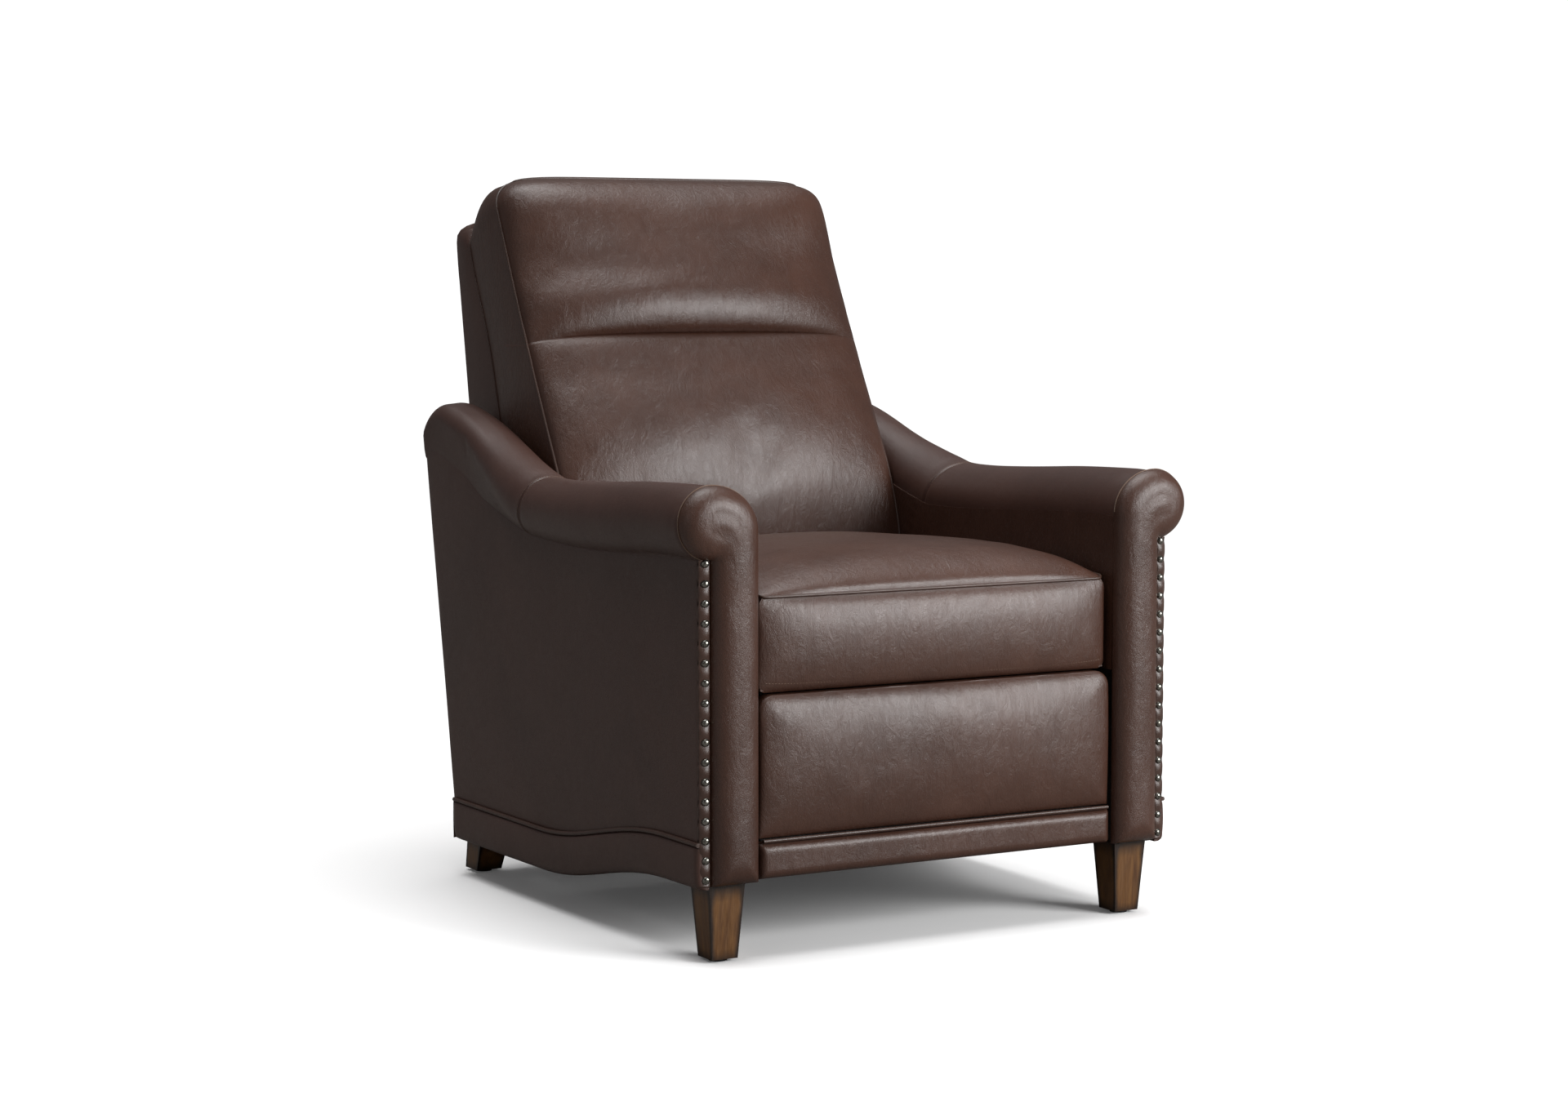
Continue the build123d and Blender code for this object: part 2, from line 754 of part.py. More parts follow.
with BuildPart() as footrest_band:
    block(
        (-footrest_half_width, footrest_half_width),
        (footrest_front + 2, board_front - gap),
        (footrest_bottom, footrest_split - welt_radius - 0.5),
    )
    fillet(footrest_band.edges().filter_by(Axis.Z).group_by(Axis.Y)[0], radius=6)
write(footrest_band.part, "footrest_band")

with BuildPart() as footrest_welt:
    with BuildSketch(Plane(origin=(-footrest_half_width, 0, 0), x_dir=(0, 1, 0), z_dir=(1, 0, 0))):
        with Locations((row(footrest_front + 2), footrest_split)):
            Circle(welt_radius)
    extrude(amount=2 * footrest_half_width)
write(footrest_welt.part, "footrest_welt")
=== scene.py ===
"""High-leg push-back recliner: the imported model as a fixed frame, with its upholstery modelled in full."""

from math import cos, pi, radians, sin, sqrt

import bmesh
import bpy
import numpy as np
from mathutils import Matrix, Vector


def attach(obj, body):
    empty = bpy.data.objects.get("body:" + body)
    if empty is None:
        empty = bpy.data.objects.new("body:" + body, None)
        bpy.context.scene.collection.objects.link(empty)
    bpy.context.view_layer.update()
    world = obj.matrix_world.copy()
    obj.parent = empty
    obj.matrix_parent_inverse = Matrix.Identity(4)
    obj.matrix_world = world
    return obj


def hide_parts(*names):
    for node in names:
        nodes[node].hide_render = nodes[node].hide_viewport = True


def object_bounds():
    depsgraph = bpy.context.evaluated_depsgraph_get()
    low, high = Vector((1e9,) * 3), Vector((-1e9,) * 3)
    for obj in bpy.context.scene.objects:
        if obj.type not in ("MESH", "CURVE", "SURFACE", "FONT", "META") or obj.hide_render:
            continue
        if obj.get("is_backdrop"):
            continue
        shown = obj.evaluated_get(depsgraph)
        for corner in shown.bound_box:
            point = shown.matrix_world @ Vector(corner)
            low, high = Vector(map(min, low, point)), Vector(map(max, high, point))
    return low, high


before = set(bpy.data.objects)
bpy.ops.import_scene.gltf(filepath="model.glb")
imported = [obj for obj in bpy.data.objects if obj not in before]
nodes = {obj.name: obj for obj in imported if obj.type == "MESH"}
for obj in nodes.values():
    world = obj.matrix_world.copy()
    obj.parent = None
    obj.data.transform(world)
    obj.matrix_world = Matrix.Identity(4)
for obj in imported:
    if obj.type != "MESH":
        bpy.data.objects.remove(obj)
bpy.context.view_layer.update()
FRONT = -0.465  # the Y of the front plane of the arm posts

# the cloth simulation of the cushions
SWELL_PRESSURE = 1.8
SWELL_FRAMES = 20
SWELL_SPARE = 0.0004  # the share by which the leather is cut larger than the face it covers
SEAM_REACH = 26  # millimetres from a seam over which the leather comes free


def row(points):
    """Points as (x, depth behind the post plane, height) in millimetres, as metres in the frame."""
    points = np.asarray(points, dtype=float) / 1000
    return points + np.array([0, FRONT, 0])


def smooth(t):
    """A step from 0 to 1 with level ends."""
    t = np.clip(t, 0, 1)
    return t * t * (3 - 2 * t)


def through(table):
    """A smooth function through the points of a table, by cubic interpolation with monotone slopes."""
    xs = np.array([p[0] for p in table], float)
    ys = np.array([p[1] for p in table], float)
    d = np.diff(ys) / np.diff(xs)
    m = np.concatenate([[d[0]], (d[1:] + d[:-1]) / 2, [d[-1]]])
    m[1:-1][d[1:] * d[:-1] <= 0] = 0

    def at(x):
        x = np.clip(np.asarray(x, float), xs[0], xs[-1])
        i = np.clip(np.searchsorted(xs, x, side="right") - 1, 0, len(xs) - 2)
        h = xs[i + 1] - xs[i]
        t = (x - xs[i]) / h
        return (
            (2 * t**3 - 3 * t**2 + 1) * ys[i]
            + (t**3 - 2 * t**2 + t) * h * m[i]
            + (-2 * t**3 + 3 * t**2) * ys[i + 1]
            + (t**3 - t**2) * h * m[i + 1]
        )

    return at


# ---- mesh helpers


def make(name, verts, faces, material, body, sharp=55):
    """A shaded mesh object from points in the row frame."""
    mesh = bpy.data.meshes.new(name)
    mesh.from_pydata([tuple(v) for v in verts], [], [tuple(int(i) for i in f) for f in faces])
    mesh.update()
    bm = bmesh.new()
    bm.from_mesh(mesh)
    bmesh.ops.remove_doubles(bm, verts=bm.verts, dist=1e-6)
    bmesh.ops.recalc_face_normals(bm, faces=bm.faces)
    bm.to_mesh(mesh)
    bm.free()
    mesh.shade_smooth()
    if sharp:
        mesh.set_sharp_from_angle(angle=radians(sharp))
    obj = bpy.data.objects.new(name, mesh)
    bpy.context.scene.collection.objects.link(obj)
    if material:
        mesh.materials.append(material)
    if body:
        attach(obj, body)
    return obj


def upholstery(node):
    """Hides a node whose place a padded leather piece takes."""
    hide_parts(node)


def quads(rows, cols, start=0, closed=False):
    """Faces of a grid of rows by cols points; closed joins the last column to the first."""
    faces = []
    for r in range(rows - 1):
        near, far = start + r * cols, start + (r + 1) * cols
        for c in range(cols if closed else cols - 1):
            d = (c + 1) % cols
            faces.append((near + c, near + d, far + d, far + c))
    return faces


def rim(grid):
    """The outline of a grid of points, once round."""
    return np.concatenate([grid[0, :-1], grid[:-1, -1], grid[-1, :0:-1], grid[:0:-1, 0]])


def edge_distance(grid, step=5):
    """For each point of a grid, how far it lies from the grid's outline, measured across the face."""
    outline = rim(grid)[:, [0, 2]]
    onward = np.roll(outline, -1, axis=0) - outline
    dense = np.concatenate([outline + onward * k / step for k in range(step)])
    flat = grid[..., [0, 2]].reshape(-1, 2)
    parts = []
    for part in np.array_split(flat, 12):
        parts.append(np.sqrt(((part[:, None] - dense[None]) ** 2).sum(axis=2)).min(axis=1))
    near = np.concatenate(parts).reshape(grid.shape[:2])
    near[0] = near[-1] = 0
    near[:, 0] = near[:, -1] = 0
    return near


def panel(name, grid, back, material, body, steps=4, belly=0.0, outward=None, sharp=55):
    """An upholstered panel: a grid of points for its face, and sides that run to the points called back."""
    rows, cols = grid.shape[:2]
    loop = rim(grid)
    n = len(loop)
    verts = [grid.reshape(-1, 3)]
    faces = quads(rows, cols)
    index = np.arange(rows * cols).reshape(rows, cols)
    ring = rim(index)
    total = rows * cols
    for step in range(1, steps + 1):
        t = step / steps
        points = loop * (1 - t) + back * t
        if belly and outward is not None:
            points = points + outward * belly * sin(pi * t)
        verts.append(points)
        new = np.arange(total, total + n)
        for k in range(n):
            j = (k + 1) % n
            faces.append((ring[k], ring[j], new[j], new[k]))
        ring = new
        total += n
    verts.append(back.mean(axis=0)[None])
    for k in range(n):
        faces.append((ring[k], ring[(k + 1) % n], total))
    return make(name, row(np.concatenate(verts)), faces, material, body, sharp)


def slab(name, front, back, material, body, sharp=55):
    """A closed sheet of leather and padding between two grids of points of the same shape."""
    rows, cols = front.shape[:2]
    count = rows * cols
    index = np.arange(count).reshape(rows, cols)
    ring = rim(index)
    faces = quads(rows, cols) + quads(rows, cols, start=count)
    for k in range(len(ring)):
        j = (k + 1) % len(ring)
        faces.append((ring[k], ring[j], ring[j] + count, ring[k] + count))
    points = np.concatenate([front.reshape(-1, 3), back.reshape(-1, 3)])
    return make(name, row(points), faces, material, body, sharp)


def swell(obj, face, away, cap):
    """Blows a cushion's face up as cloth held along its seams, then keeps the shape it took as plain mesh."""
    mesh = obj.data
    held = obj.vertex_groups.new(name="held")
    before = np.zeros(len(mesh.vertices) * 3)
    mesh.vertices.foreach_get("co", before)
    before = before.reshape(-1, 3)
    free = np.zeros(len(before))
    points = row(face).reshape(-1, 3)
    share = np.clip(away / SEAM_REACH, 0, 1).reshape(-1)
    lookup = {tuple(np.round(p, 5)): w for p, w in zip(points, share)}
    for k, p in enumerate(before):
        free[k] = lookup.get(tuple(np.round(p, 5)), 0.0)
    for k in range(len(before)):
        held.add([k], float(1 - free[k]) if free[k] < 1 else 0.0, "REPLACE")
    cloth_mod = obj.modifiers.new("swell", "CLOTH")
    settings = cloth_mod.settings
    settings.quality = 6
    settings.mass = 0.35
    settings.tension_stiffness = settings.compression_stiffness = 12
    settings.shear_stiffness = 4
    settings.bending_stiffness = 6
    settings.use_pressure = True
    settings.uniform_pressure_force = SWELL_PRESSURE
    settings.shrink_min = -SWELL_SPARE
    settings.vertex_group_mass = "held"
    settings.effector_weights.gravity = 0
    cloth_mod.collision_settings.use_collision = False
    scene = bpy.context.scene
    for n in range(1, SWELL_FRAMES + 1):
        scene.frame_set(n)
    solved = obj.evaluated_get(bpy.context.evaluated_depsgraph_get()).to_mesh()
    after = np.zeros(len(before) * 3)
    solved.vertices.foreach_get("co", after)
    move = after.reshape(-1, 3) - before
    size = np.linalg.norm(move, axis=1, keepdims=True)
    move *= np.minimum(1, cap / np.maximum(size, 1e-9)) * np.clip(free * 3, 0, 1)[:, None]
    obj.modifiers.remove(cloth_mod)
    obj.vertex_groups.remove(held)
    mesh.vertices.foreach_set("co", (before + move).reshape(-1))
    mesh.update()
    scene.frame_set(1)
    mean = size[free > 0.9].mean() * 1000
    print(f"SWELL {obj.name}: mean {mean:.1f} mm, most {size.max() * 1000:.1f} mm")


def tube(name, path, radius, material, body, closed=False, sides=10, squash=1.0):
    """A cord of welt along a path of points (x, depth, height) in millimetres."""
    path = np.asarray(path, float)
    n = len(path)
    if closed:
        tangent = np.roll(path, -1, axis=0) - np.roll(path, 1, axis=0)
    else:
        tangent = np.gradient(path, axis=0)
    tangent /= np.linalg.norm(tangent, axis=1)[:, None]
    normal = np.zeros_like(path)
    reference = np.array([0.0, 0.0, 1.0]) if abs(tangent[0][2]) < 0.9 else np.array([1.0, 0.0, 0.0])
    previous = reference
    for k in range(n):
        v = previous - tangent[k] * previous.dot(tangent[k])
        v /= np.linalg.norm(v)
        normal[k] = v
        previous = v
    binormal = np.cross(tangent, normal)
    angle = np.linspace(0, 2 * pi, sides, endpoint=False)
    rings = (
        path[:, None, :]
        + radius * np.cos(angle)[None, :, None] * normal[:, None, :]
        + radius * squash * np.sin(angle)[None, :, None] * binormal[:, None, :]
    )
    verts = rings.reshape(-1, 3)
    faces = quads(n, sides, closed=True)
    if closed:
        for c in range(sides):
            d = (c + 1) % sides
            faces.append(((n - 1) * sides + c, (n - 1) * sides + d, d, c))
    else:
        faces.append(tuple(range(sides)))
        faces.append(tuple((n - 1) * sides + c for c in range(sides)))
    return make(name, row(verts), faces, material, body, sharp=70)


def travelled(points):
    """How far along a line each of its points lies."""
    return np.concatenate([[0], np.cumsum(np.linalg.norm(np.diff(points, axis=0), axis=1))])


def resample(path, spacing):
    """The same path with points that far apart."""
    path = np.asarray(path, float)
    length = travelled(path)
    count = max(int(length[-1] / spacing), 2)
    at = np.linspace(0, length[-1], count + 1)
    return np.stack([np.interp(at, length, path[:, k]) for k in range(3)], axis=1)


def stitches(name, path, normals, pitch, length, radius, material, body):
    """A row of thread stitches lying along a path, each a short bead sunk halfway into the leather."""
    path = resample(path, pitch)
    normals = np.asarray(normals, float)
    verts = []
    faces = []
    for k in range(len(path) - 1):
        d = path[k + 1] - path[k]
        d /= np.linalg.norm(d)
        up = normals
        if normals.ndim > 1:
            up = normals[min(int(k * len(normals) / len(path)), len(normals) - 1)]
        side = np.cross(d, up)
        side /= np.linalg.norm(side)
        up = np.cross(side, d)
        start = len(verts)
        for share, size in ((0.0, 0.35), (0.15, 0.9), (0.5, 1.0), (0.85, 0.9), (1.0, 0.35)):
            for a in range(6):
                angle = a * pi / 3
                around = side * cos(angle) + up * sin(angle) * 0.8
                verts.append(path[k] + d * length * share + radius * size * around)
        faces += [tuple(start + i for i in f) for f in quads(5, 6, closed=True)]
    return make(name, row(np.array(verts)), faces, material, body, sharp=None)


# ---- materials


class Nodes:
    """A short way to write a node tree."""

    def __init__(self, name):
        self.material = bpy.data.materials.new(name)
        self.material.use_nodes = True
        self.tree = self.material.node_tree
        self.shader = self.tree.nodes["Principled BSDF"]

    def add(self, kind, **values):
        node = self.tree.nodes.new(kind)
        for key, value in values.items():
            if hasattr(node, key) and key not in node.inputs:
                setattr(node, key, value)
            else:
                node.inputs[key].default_value = value
        return node

    def link(self, a, b):
        self.tree.links.new(a, b)

    def feed(self, socket, value):
        """Gives a socket a number, a colour or another node's output."""
        if isinstance(value, (int, float)):
            socket.default_value = value
        elif isinstance(value, tuple):
            socket.default_value = (*value, 1)
        else:
            self.link(value, socket)

    def place(self, scale=(1, 1, 1)):
        coords = self.add("ShaderNodeTexCoord")
        mapping = self.add("ShaderNodeMapping", Scale=scale)
        self.link(coords.outputs["Object"], mapping.inputs["Vector"])
        return mapping.outputs["Vector"]

    def noise(self, vector, scale, detail=4, rough=0.55, distortion=0.0):
        node = self.add("ShaderNodeTexNoise", Scale=scale, Detail=detail, Roughness=rough)
        node.inputs["Distortion"].default_value = distortion
        self.link(vector, node.inputs["Vector"])
        return node.outputs["Fac"]

    def voronoi(self, vector, scale, feature="F1", smoothness=None):
        node = self.add("ShaderNodeTexVoronoi", feature=feature, Scale=scale)
        if smoothness is not None and "Smoothness" in node.inputs:
            node.inputs["Smoothness"].default_value = smoothness
        self.link(vector, node.inputs["Vector"])
        return node.outputs["Distance"]

    def ramp(self, value, *stops):
        node = self.add("ShaderNodeValToRGB")
        elements = node.color_ramp.elements
        while len(elements) < len(stops):
            elements.new(0.5)
        for element, (at, colour) in zip(elements, stops):
            element.position = at
            element.color = (*colour, 1) if len(colour) == 3 else colour
        self.link(value, node.inputs["Fac"])
        return node.outputs["Color"]

    def span(self, value, low, high, from_low=0.0, from_high=1.0):
        node = self.add("ShaderNodeMapRange")
        limits = {"From Min": from_low, "From Max": from_high, "To Min": low, "To Max": high}
        for key, limit in limits.items():
            node.inputs[key].default_value = limit
        self.link(value, node.inputs["Value"])
        return node.outputs["Result"]

    def math(self, operation, a, b):
        node = self.add("ShaderNodeMath", operation=operation)
        for socket, value in zip(node.inputs, (a, b)):
            self.feed(socket, value)
        return node.outputs["Value"]

    def mix(self, factor, a, b, blend="MIX"):
        node = self.add("ShaderNodeMix", data_type="RGBA", blend_type=blend)
        for key, value in (("Factor", factor), ("A", a), ("B", b)):
            kind = "VALUE" if key == "Factor" else "RGBA"
            self.feed([i for i in node.inputs if i.name == key and i.type == kind][0], value)
        return [o for o in node.outputs if o.type == "RGBA"][0]

    def bump(self, height, strength, distance, normal=None):
        node = self.add("ShaderNodeBump", Strength=strength, Distance=distance)
        self.link(height, node.inputs["Height"])
        if normal is not None:
            self.link(normal, node.inputs["Normal"])
        return node.outputs["Normal"]

    def set(self, name, value):
        self.feed(self.shader.inputs[name], value)


def leather(name, dark, mid, light, rough, wrinkle, stretch=(1, 1, 1), tone_scale=3.2):
    """Aniline-look leather: cloudy tone, a fine pebble grain, creases and a roughness that follows them."""
    n = Nodes(name)
    at = n.place()
    drawn = n.place(stretch)
    cloud = n.noise(at, tone_scale, 5, 0.6, 0.6)
    mottle = n.noise(at, 26, 4, 0.6)
    tone = n.math("ADD", n.math("MULTIPLY", cloud, 0.72), n.math("MULTIPLY", mottle, 0.28))
    colour = n.ramp(tone, (0.3, dark), (0.52, mid), (0.74, light))
    cells = n.voronoi(at, 620, "SMOOTH_F1", 0.25)
    cracks = n.voronoi(at, 620, "DISTANCE_TO_EDGE")
    pores = n.noise(at, 1900, 2, 0.5)
    creases = n.noise(drawn, 34, 7, 0.66, 1.6)
    folds = n.noise(drawn, 9, 3, 0.5, 0.8)
    edge = n.span(cracks, 0.0, 1.0, 0.0, 0.16)
    colour = n.mix(n.span(edge, 0.34, 0.0), colour, tuple(c * 0.45 for c in dark))
    n.set("Base Color", colour)
    gloss = n.math("ADD", n.math("MULTIPLY", creases, 0.55), n.math("MULTIPLY", cells, 0.45))
    n.set("Roughness", n.span(gloss, *rough, 0.25, 0.75))
    grain = n.math("ADD", n.math("MULTIPLY", edge, 0.75), n.math("MULTIPLY", pores, 0.35))
    normal = n.bump(folds, min(wrinkle * 0.6, 0.35), 0.0040)
    normal = n.bump(creases, wrinkle, 0.0016, normal)
    normal = n.bump(grain, 0.38, 0.00028, normal)
    n.set("Normal", normal)
    n.set("Specular IOR Level", 0.5)
    n.set("Coat Weight", 0.08)
    n.set("Coat Roughness", 0.25)
    return n.material


def wood(name, dark, mid, light, along=(14, 14, 1.6), rough=(0.32, 0.5), leg_shade_shape=None):
    """Wood with drawn-out grain and pores, stained on the legs; on a leg, painted shade darkens the foot
    where it stands on the floor and the top just under the band, and its upright edges are darker too.
    """
    n = Nodes(name)
    at = n.place()
    drawn = n.place(along)
    grain = n.noise(drawn, 3.2, 6, 0.65, 1.6)
    fine = n.noise(n.place((along[0] * 3, along[1] * 3, along[2])), 9, 4, 0.6, 0.4)
    tone = n.math("ADD", n.math("MULTIPLY", grain, 0.7), n.math("MULTIPLY", fine, 0.3))
    colour = n.ramp(tone, (0.3, dark), (0.5, mid), (0.72, light))
    # on a leg: painted shade at its foot and top, darker upright edges, and random mottle
    if leg_shade_shape:
        centre, top, half_top, half_foot, shift = leg_shade_shape
        split = n.add("ShaderNodeSeparateXYZ")
        n.link(at, split.inputs["Vector"])
        x, y, z = (split.outputs[k] for k in "XYZ")
        u = n.math("ABSOLUTE", n.math("SUBTRACT", n.math("ABSOLUTE", x, 0), centre[0]), 0)
        middle = n.span(z, centre[1] + shift, centre[1], 0.0, top)
        v = n.math("ABSOLUTE", n.math("SUBTRACT", y, middle), 0)
        half = n.span(z, half_foot, half_top, 0.0, top)
        ridge = n.math("DIVIDE", n.math("MINIMUM", u, v), half)
        away_from_edges = n.span(ridge, 1.0, 0.0, 0.62, 0.97)
        # painted shade: darker at the foot, on the floor, and at the top, under the band
        foot = n.span(z, 0.1, 1, 0.003, 0.022)
        ends = n.math("MINIMUM", foot, n.span(z, 1, 0.1, top - 0.028, top))
        mottle = n.math("SUBTRACT", n.noise(at, 34, 4, 0.6), 0.5)
        # low where the painted shade and the darker edges fall, and mottled at random
        cloudy = n.math("ADD", n.math("MULTIPLY", away_from_edges, ends), n.math("MULTIPLY", mottle, 0.55))
        colour = n.mix(n.span(cloudy, 0.0, 1.0, 0.12, 0.78), tuple(c * 0.22 for c in dark), colour)
    n.set("Base Color", colour)
    n.set("Roughness", n.span(fine, *rough, 0.3, 0.7))
    n.set("Normal", n.bump(tone, 0.25, 0.0004))
    n.set("Coat Weight", 0.05)
    n.set("Coat Roughness", 0.25)
    return n.material


def metal(name, colour, rough, scale=420, patina=None, metallic=1.0):
    """Metal with a slightly uneven face, and dark patina in random patches if a patina colour is given."""
    n = Nodes(name)
    at = n.place()
    spots = n.noise(at, scale, 5, 0.6)
    if patina:
        n.set("Base Color", n.mix(n.span(spots, 0, 1, 0.38, 0.62), patina, colour))
    else:
        n.set("Base Color", n.mix(n.span(spots, 0, 0.5), colour, tuple(c * 0.7 for c in colour)))
    n.set("Metallic", metallic)
    n.set("Roughness", n.span(spots, *rough, 0.3, 0.7))
    n.set("Normal", n.bump(spots, 0.1, 0.0001))
    return n.material


def cloth(name, colour, scale=900):
    """A plain woven cloth: two crossed sets of threads, with a little lint."""
    n = Nodes(name)
    at = n.place()
    warp = n.add("ShaderNodeTexWave", wave_type="BANDS", bands_direction="X")
    weft = n.add("ShaderNodeTexWave", wave_type="BANDS", bands_direction="Y")
    for wave in (warp, weft):
        wave.inputs["Scale"].default_value = scale / 6.28
        wave.inputs["Distortion"].default_value = 0.6
        n.link(at, wave.inputs["Vector"])
    weave = n.math("MAXIMUM", warp.outputs["Fac"], weft.outputs["Fac"])
    lint = n.noise(at, 60, 5, 0.7)
    raised = n.span(n.math("MULTIPLY", weave, lint), 0, 1, 0.2, 0.7)
    n.set("Base Color", n.mix(raised, tuple(c * 0.55 for c in colour), colour))
    n.set("Roughness", n.span(lint, 0.8, 0.95))
    n.set("Normal", n.bump(weave, 0.4, 0.0004))
    n.set("Sheen Weight", 0.2)
    return n.material


# each leather and wood has a dark, a middle and a light tone
HIDE_TONES = ((0.039, 0.0148, 0.0085), (0.057, 0.0228, 0.0136), (0.076, 0.0325, 0.0205))
PANEL_TONES = ((0.040, 0.0155, 0.0105), (0.055, 0.0225, 0.0153), (0.068, 0.029, 0.0203))
WELT_TONES = ((0.034, 0.015, 0.0095), (0.048, 0.022, 0.0145), (0.070, 0.034, 0.0225))
LEG_TONES = ((0.060, 0.022, 0.006), (0.125, 0.054, 0.014), (0.20, 0.095, 0.026))
# the frame timber is near black as painted shade for the gaps between the upholstered parts where the frame
# shows; bare frame timber is pale
GAP_SHADE_TIMBER_TONES = ((0.012, 0.008, 0.006), (0.022, 0.014, 0.010), (0.034, 0.022, 0.015))
PEWTER, PEWTER_PATINA = (0.30, 0.295, 0.27), (0.10, 0.095, 0.08)
# in metres: where a leg stands, its top, half its width at top and foot, and how far it rakes back; these
# place the leg's painted shade and darker edges
FRONT_LEG = ((0.319, -0.428), 0.102, 0.026, 0.019, 0.0)
REAR_LEG = ((0.319, 0.278), 0.054, 0.0235, 0.020, 0.019)

hide = leather("leather_main", *HIDE_TONES, rough=(0.29, 0.45), wrinkle=0.6, stretch=(1.9, 1.9, 1.0))
hide_flat = leather("leather_panels", *PANEL_TONES, rough=(0.36, 0.50), wrinkle=0.12, tone_scale=2.2)
hide_welt = leather("leather_welt", *WELT_TONES, rough=(0.32, 0.46), wrinkle=0.1)
thread = cloth("thread", (0.20, 0.125, 0.085), 3000)
dust_cloth = cloth("black_cambric", (0.02, 0.02, 0.021))
leg_stain_front = wood("leg_wood_front", *LEG_TONES, leg_shade_shape=FRONT_LEG)
leg_stain_rear = wood("leg_wood_rear", *LEG_TONES, leg_shade_shape=REAR_LEG)
frame_timber = wood("frame_timber", *GAP_SHADE_TIMBER_TONES, along=(10, 1.2, 10), rough=(0.5, 0.7))
nail_metal = metal("antique_pewter", PEWTER, (0.20, 0.34), 420, patina=PEWTER_PATINA)
link_steel = metal("black_enamel_steel", (0.025, 0.025, 0.027), (0.34, 0.5), 260, metallic=0.35)
bright_steel = metal("zinc_steel", (0.55, 0.55, 0.53), (0.28, 0.45), 300)
glide_nylon = metal("glide_nylon", (0.02, 0.02, 0.02), (0.5, 0.7), 300, metallic=0.0)

# frame parts that take the near-black painted shade
timber_nodes = "corner_blocks side_frame cross_stretcher rear_rail seat_frame back_frame footrest_board"
link_nodes = "mounting_plate front_swing_links rear_swing_links seat_rail back_bracket drive_links"
link_nodes += " torque_tube idler_links carrier_links tilt_links footrest_bracket"
finish_of = {
    "leg_front": leg_stain_front,
    "leg_rear": leg_stain_rear,
    "leg_glides": glide_nylon,
    "seat_deck": dust_cloth,
    **{stem: frame_timber for stem in timber_nodes.split()},
    **{stem: link_steel for stem in link_nodes.split()},
    **{stem: bright_steel for stem in ("leg_bolts", "mounting_screws", "seat_springs", "back_springs")},
}
for name, obj in nodes.items():
    stem = name.replace("_left", "").replace("_right", "")
    material = finish_of.get(name) or finish_of.get(stem) or hide_flat
    for k in range(len(obj.material_slots)):
        obj.material_slots[k].material = material
    if not obj.material_slots:
        obj.data.materials.append(material)

# ---- shared outlines, in millimetres

ARM = 366.0  # the arm's outer face, from the middle
ARM_INNER = 281.2  # the inner side of the arm roll
SCROLL_X, SCROLL_Z, SCROLL_RADIUS = 347, 571, 48
INNER_SCROLL_Z = 560  # where the scroll's inner, flatter quarter is centred
SEAM_DEPTH = 472  # the seam across the roll at the elbow
REAR_DEPTH, REAR_Z = 773, 114  # a point near the foot of the arm's rear edge
REAR_LEAN = 0.18  # how far that edge runs back for each unit of height
top_line = [(0, 616), (41, 618), (102, 617), (243, 611), (392, 604.5), (465, 604), (517, 614)]
top_line += [(582, 632), (632, 648), (700, 670), (761, 686), (814, 697), (900, 699)]
low_line = [(0, 524), (7, 522), (155, 514), (301, 513), (440, 518), (500, 526), (537, 533)]
low_line += [(603, 548), (662, 565), (705, 585), (780, 610), (880, 632)]
roll_top = through(top_line)
roll_low = through(low_line)


def rear_edge(z):
    """Depth of the arm's leaning rear edge at a height."""
    return REAR_DEPTH + REAR_LEAN * (np.asarray(z, float) - REAR_Z)


wave_t = np.linspace(0, 1, 60)
wave_y = 90 + 3 * 146 * wave_t * (1 - wave_t) ** 2 + 3 * 234 * wave_t**2 * (1 - wave_t) + 380 * wave_t**3
wave_z = 102 - 48 * (3 * wave_t**2 - 2 * wave_t**3)


def wave(y):
    """Height of the base's lower edge at a depth."""
    return np.interp(y, np.concatenate([[-50], wave_y, [900]]), np.concatenate([[102], wave_z, [54]]))


def crowd(n, power=1.0):
    """n values from -1 to 1, closer together near the ends."""
    t = np.linspace(-1, 1, n)
    return np.sin(t * pi / 2) * (1 - power) + t * power if power < 1 else t


def hump(a, power=3.0):
    """1 in the middle and 0 at -1 and 1, with steep flanks."""
    return np.clip(1 - np.abs(a) ** power, 0, 1) ** 0.5


def ripples(points, scale, size, seed):
    """A smooth random offset for each point, in millimetres, from a few waves in random directions."""
    rng = np.random.default_rng(seed)
    total = np.zeros(points.shape[:-1])
    for k in range(14):
        direction = rng.normal(size=3)
        direction /= np.linalg.norm(direction)
        length = scale * rng.uniform(0.6, 1.8)
        total += np.sin(points @ direction * 2 * pi / length + rng.uniform(0, 2 * pi)) * length / scale
    return total * size / 14**0.5


def both(build):
    """Builds a piece for the sitter's left, then its mirror image for the right."""
    for side, name in ((1, "left"), (-1, "right")):
        build(side, name)


def flip(points, side):
    """The same points on the sitter's left, side 1, or mirrored to the right, side -1."""
    points = np.array(points, float)
    points[..., 0] *= side
    return points


# ---- arms


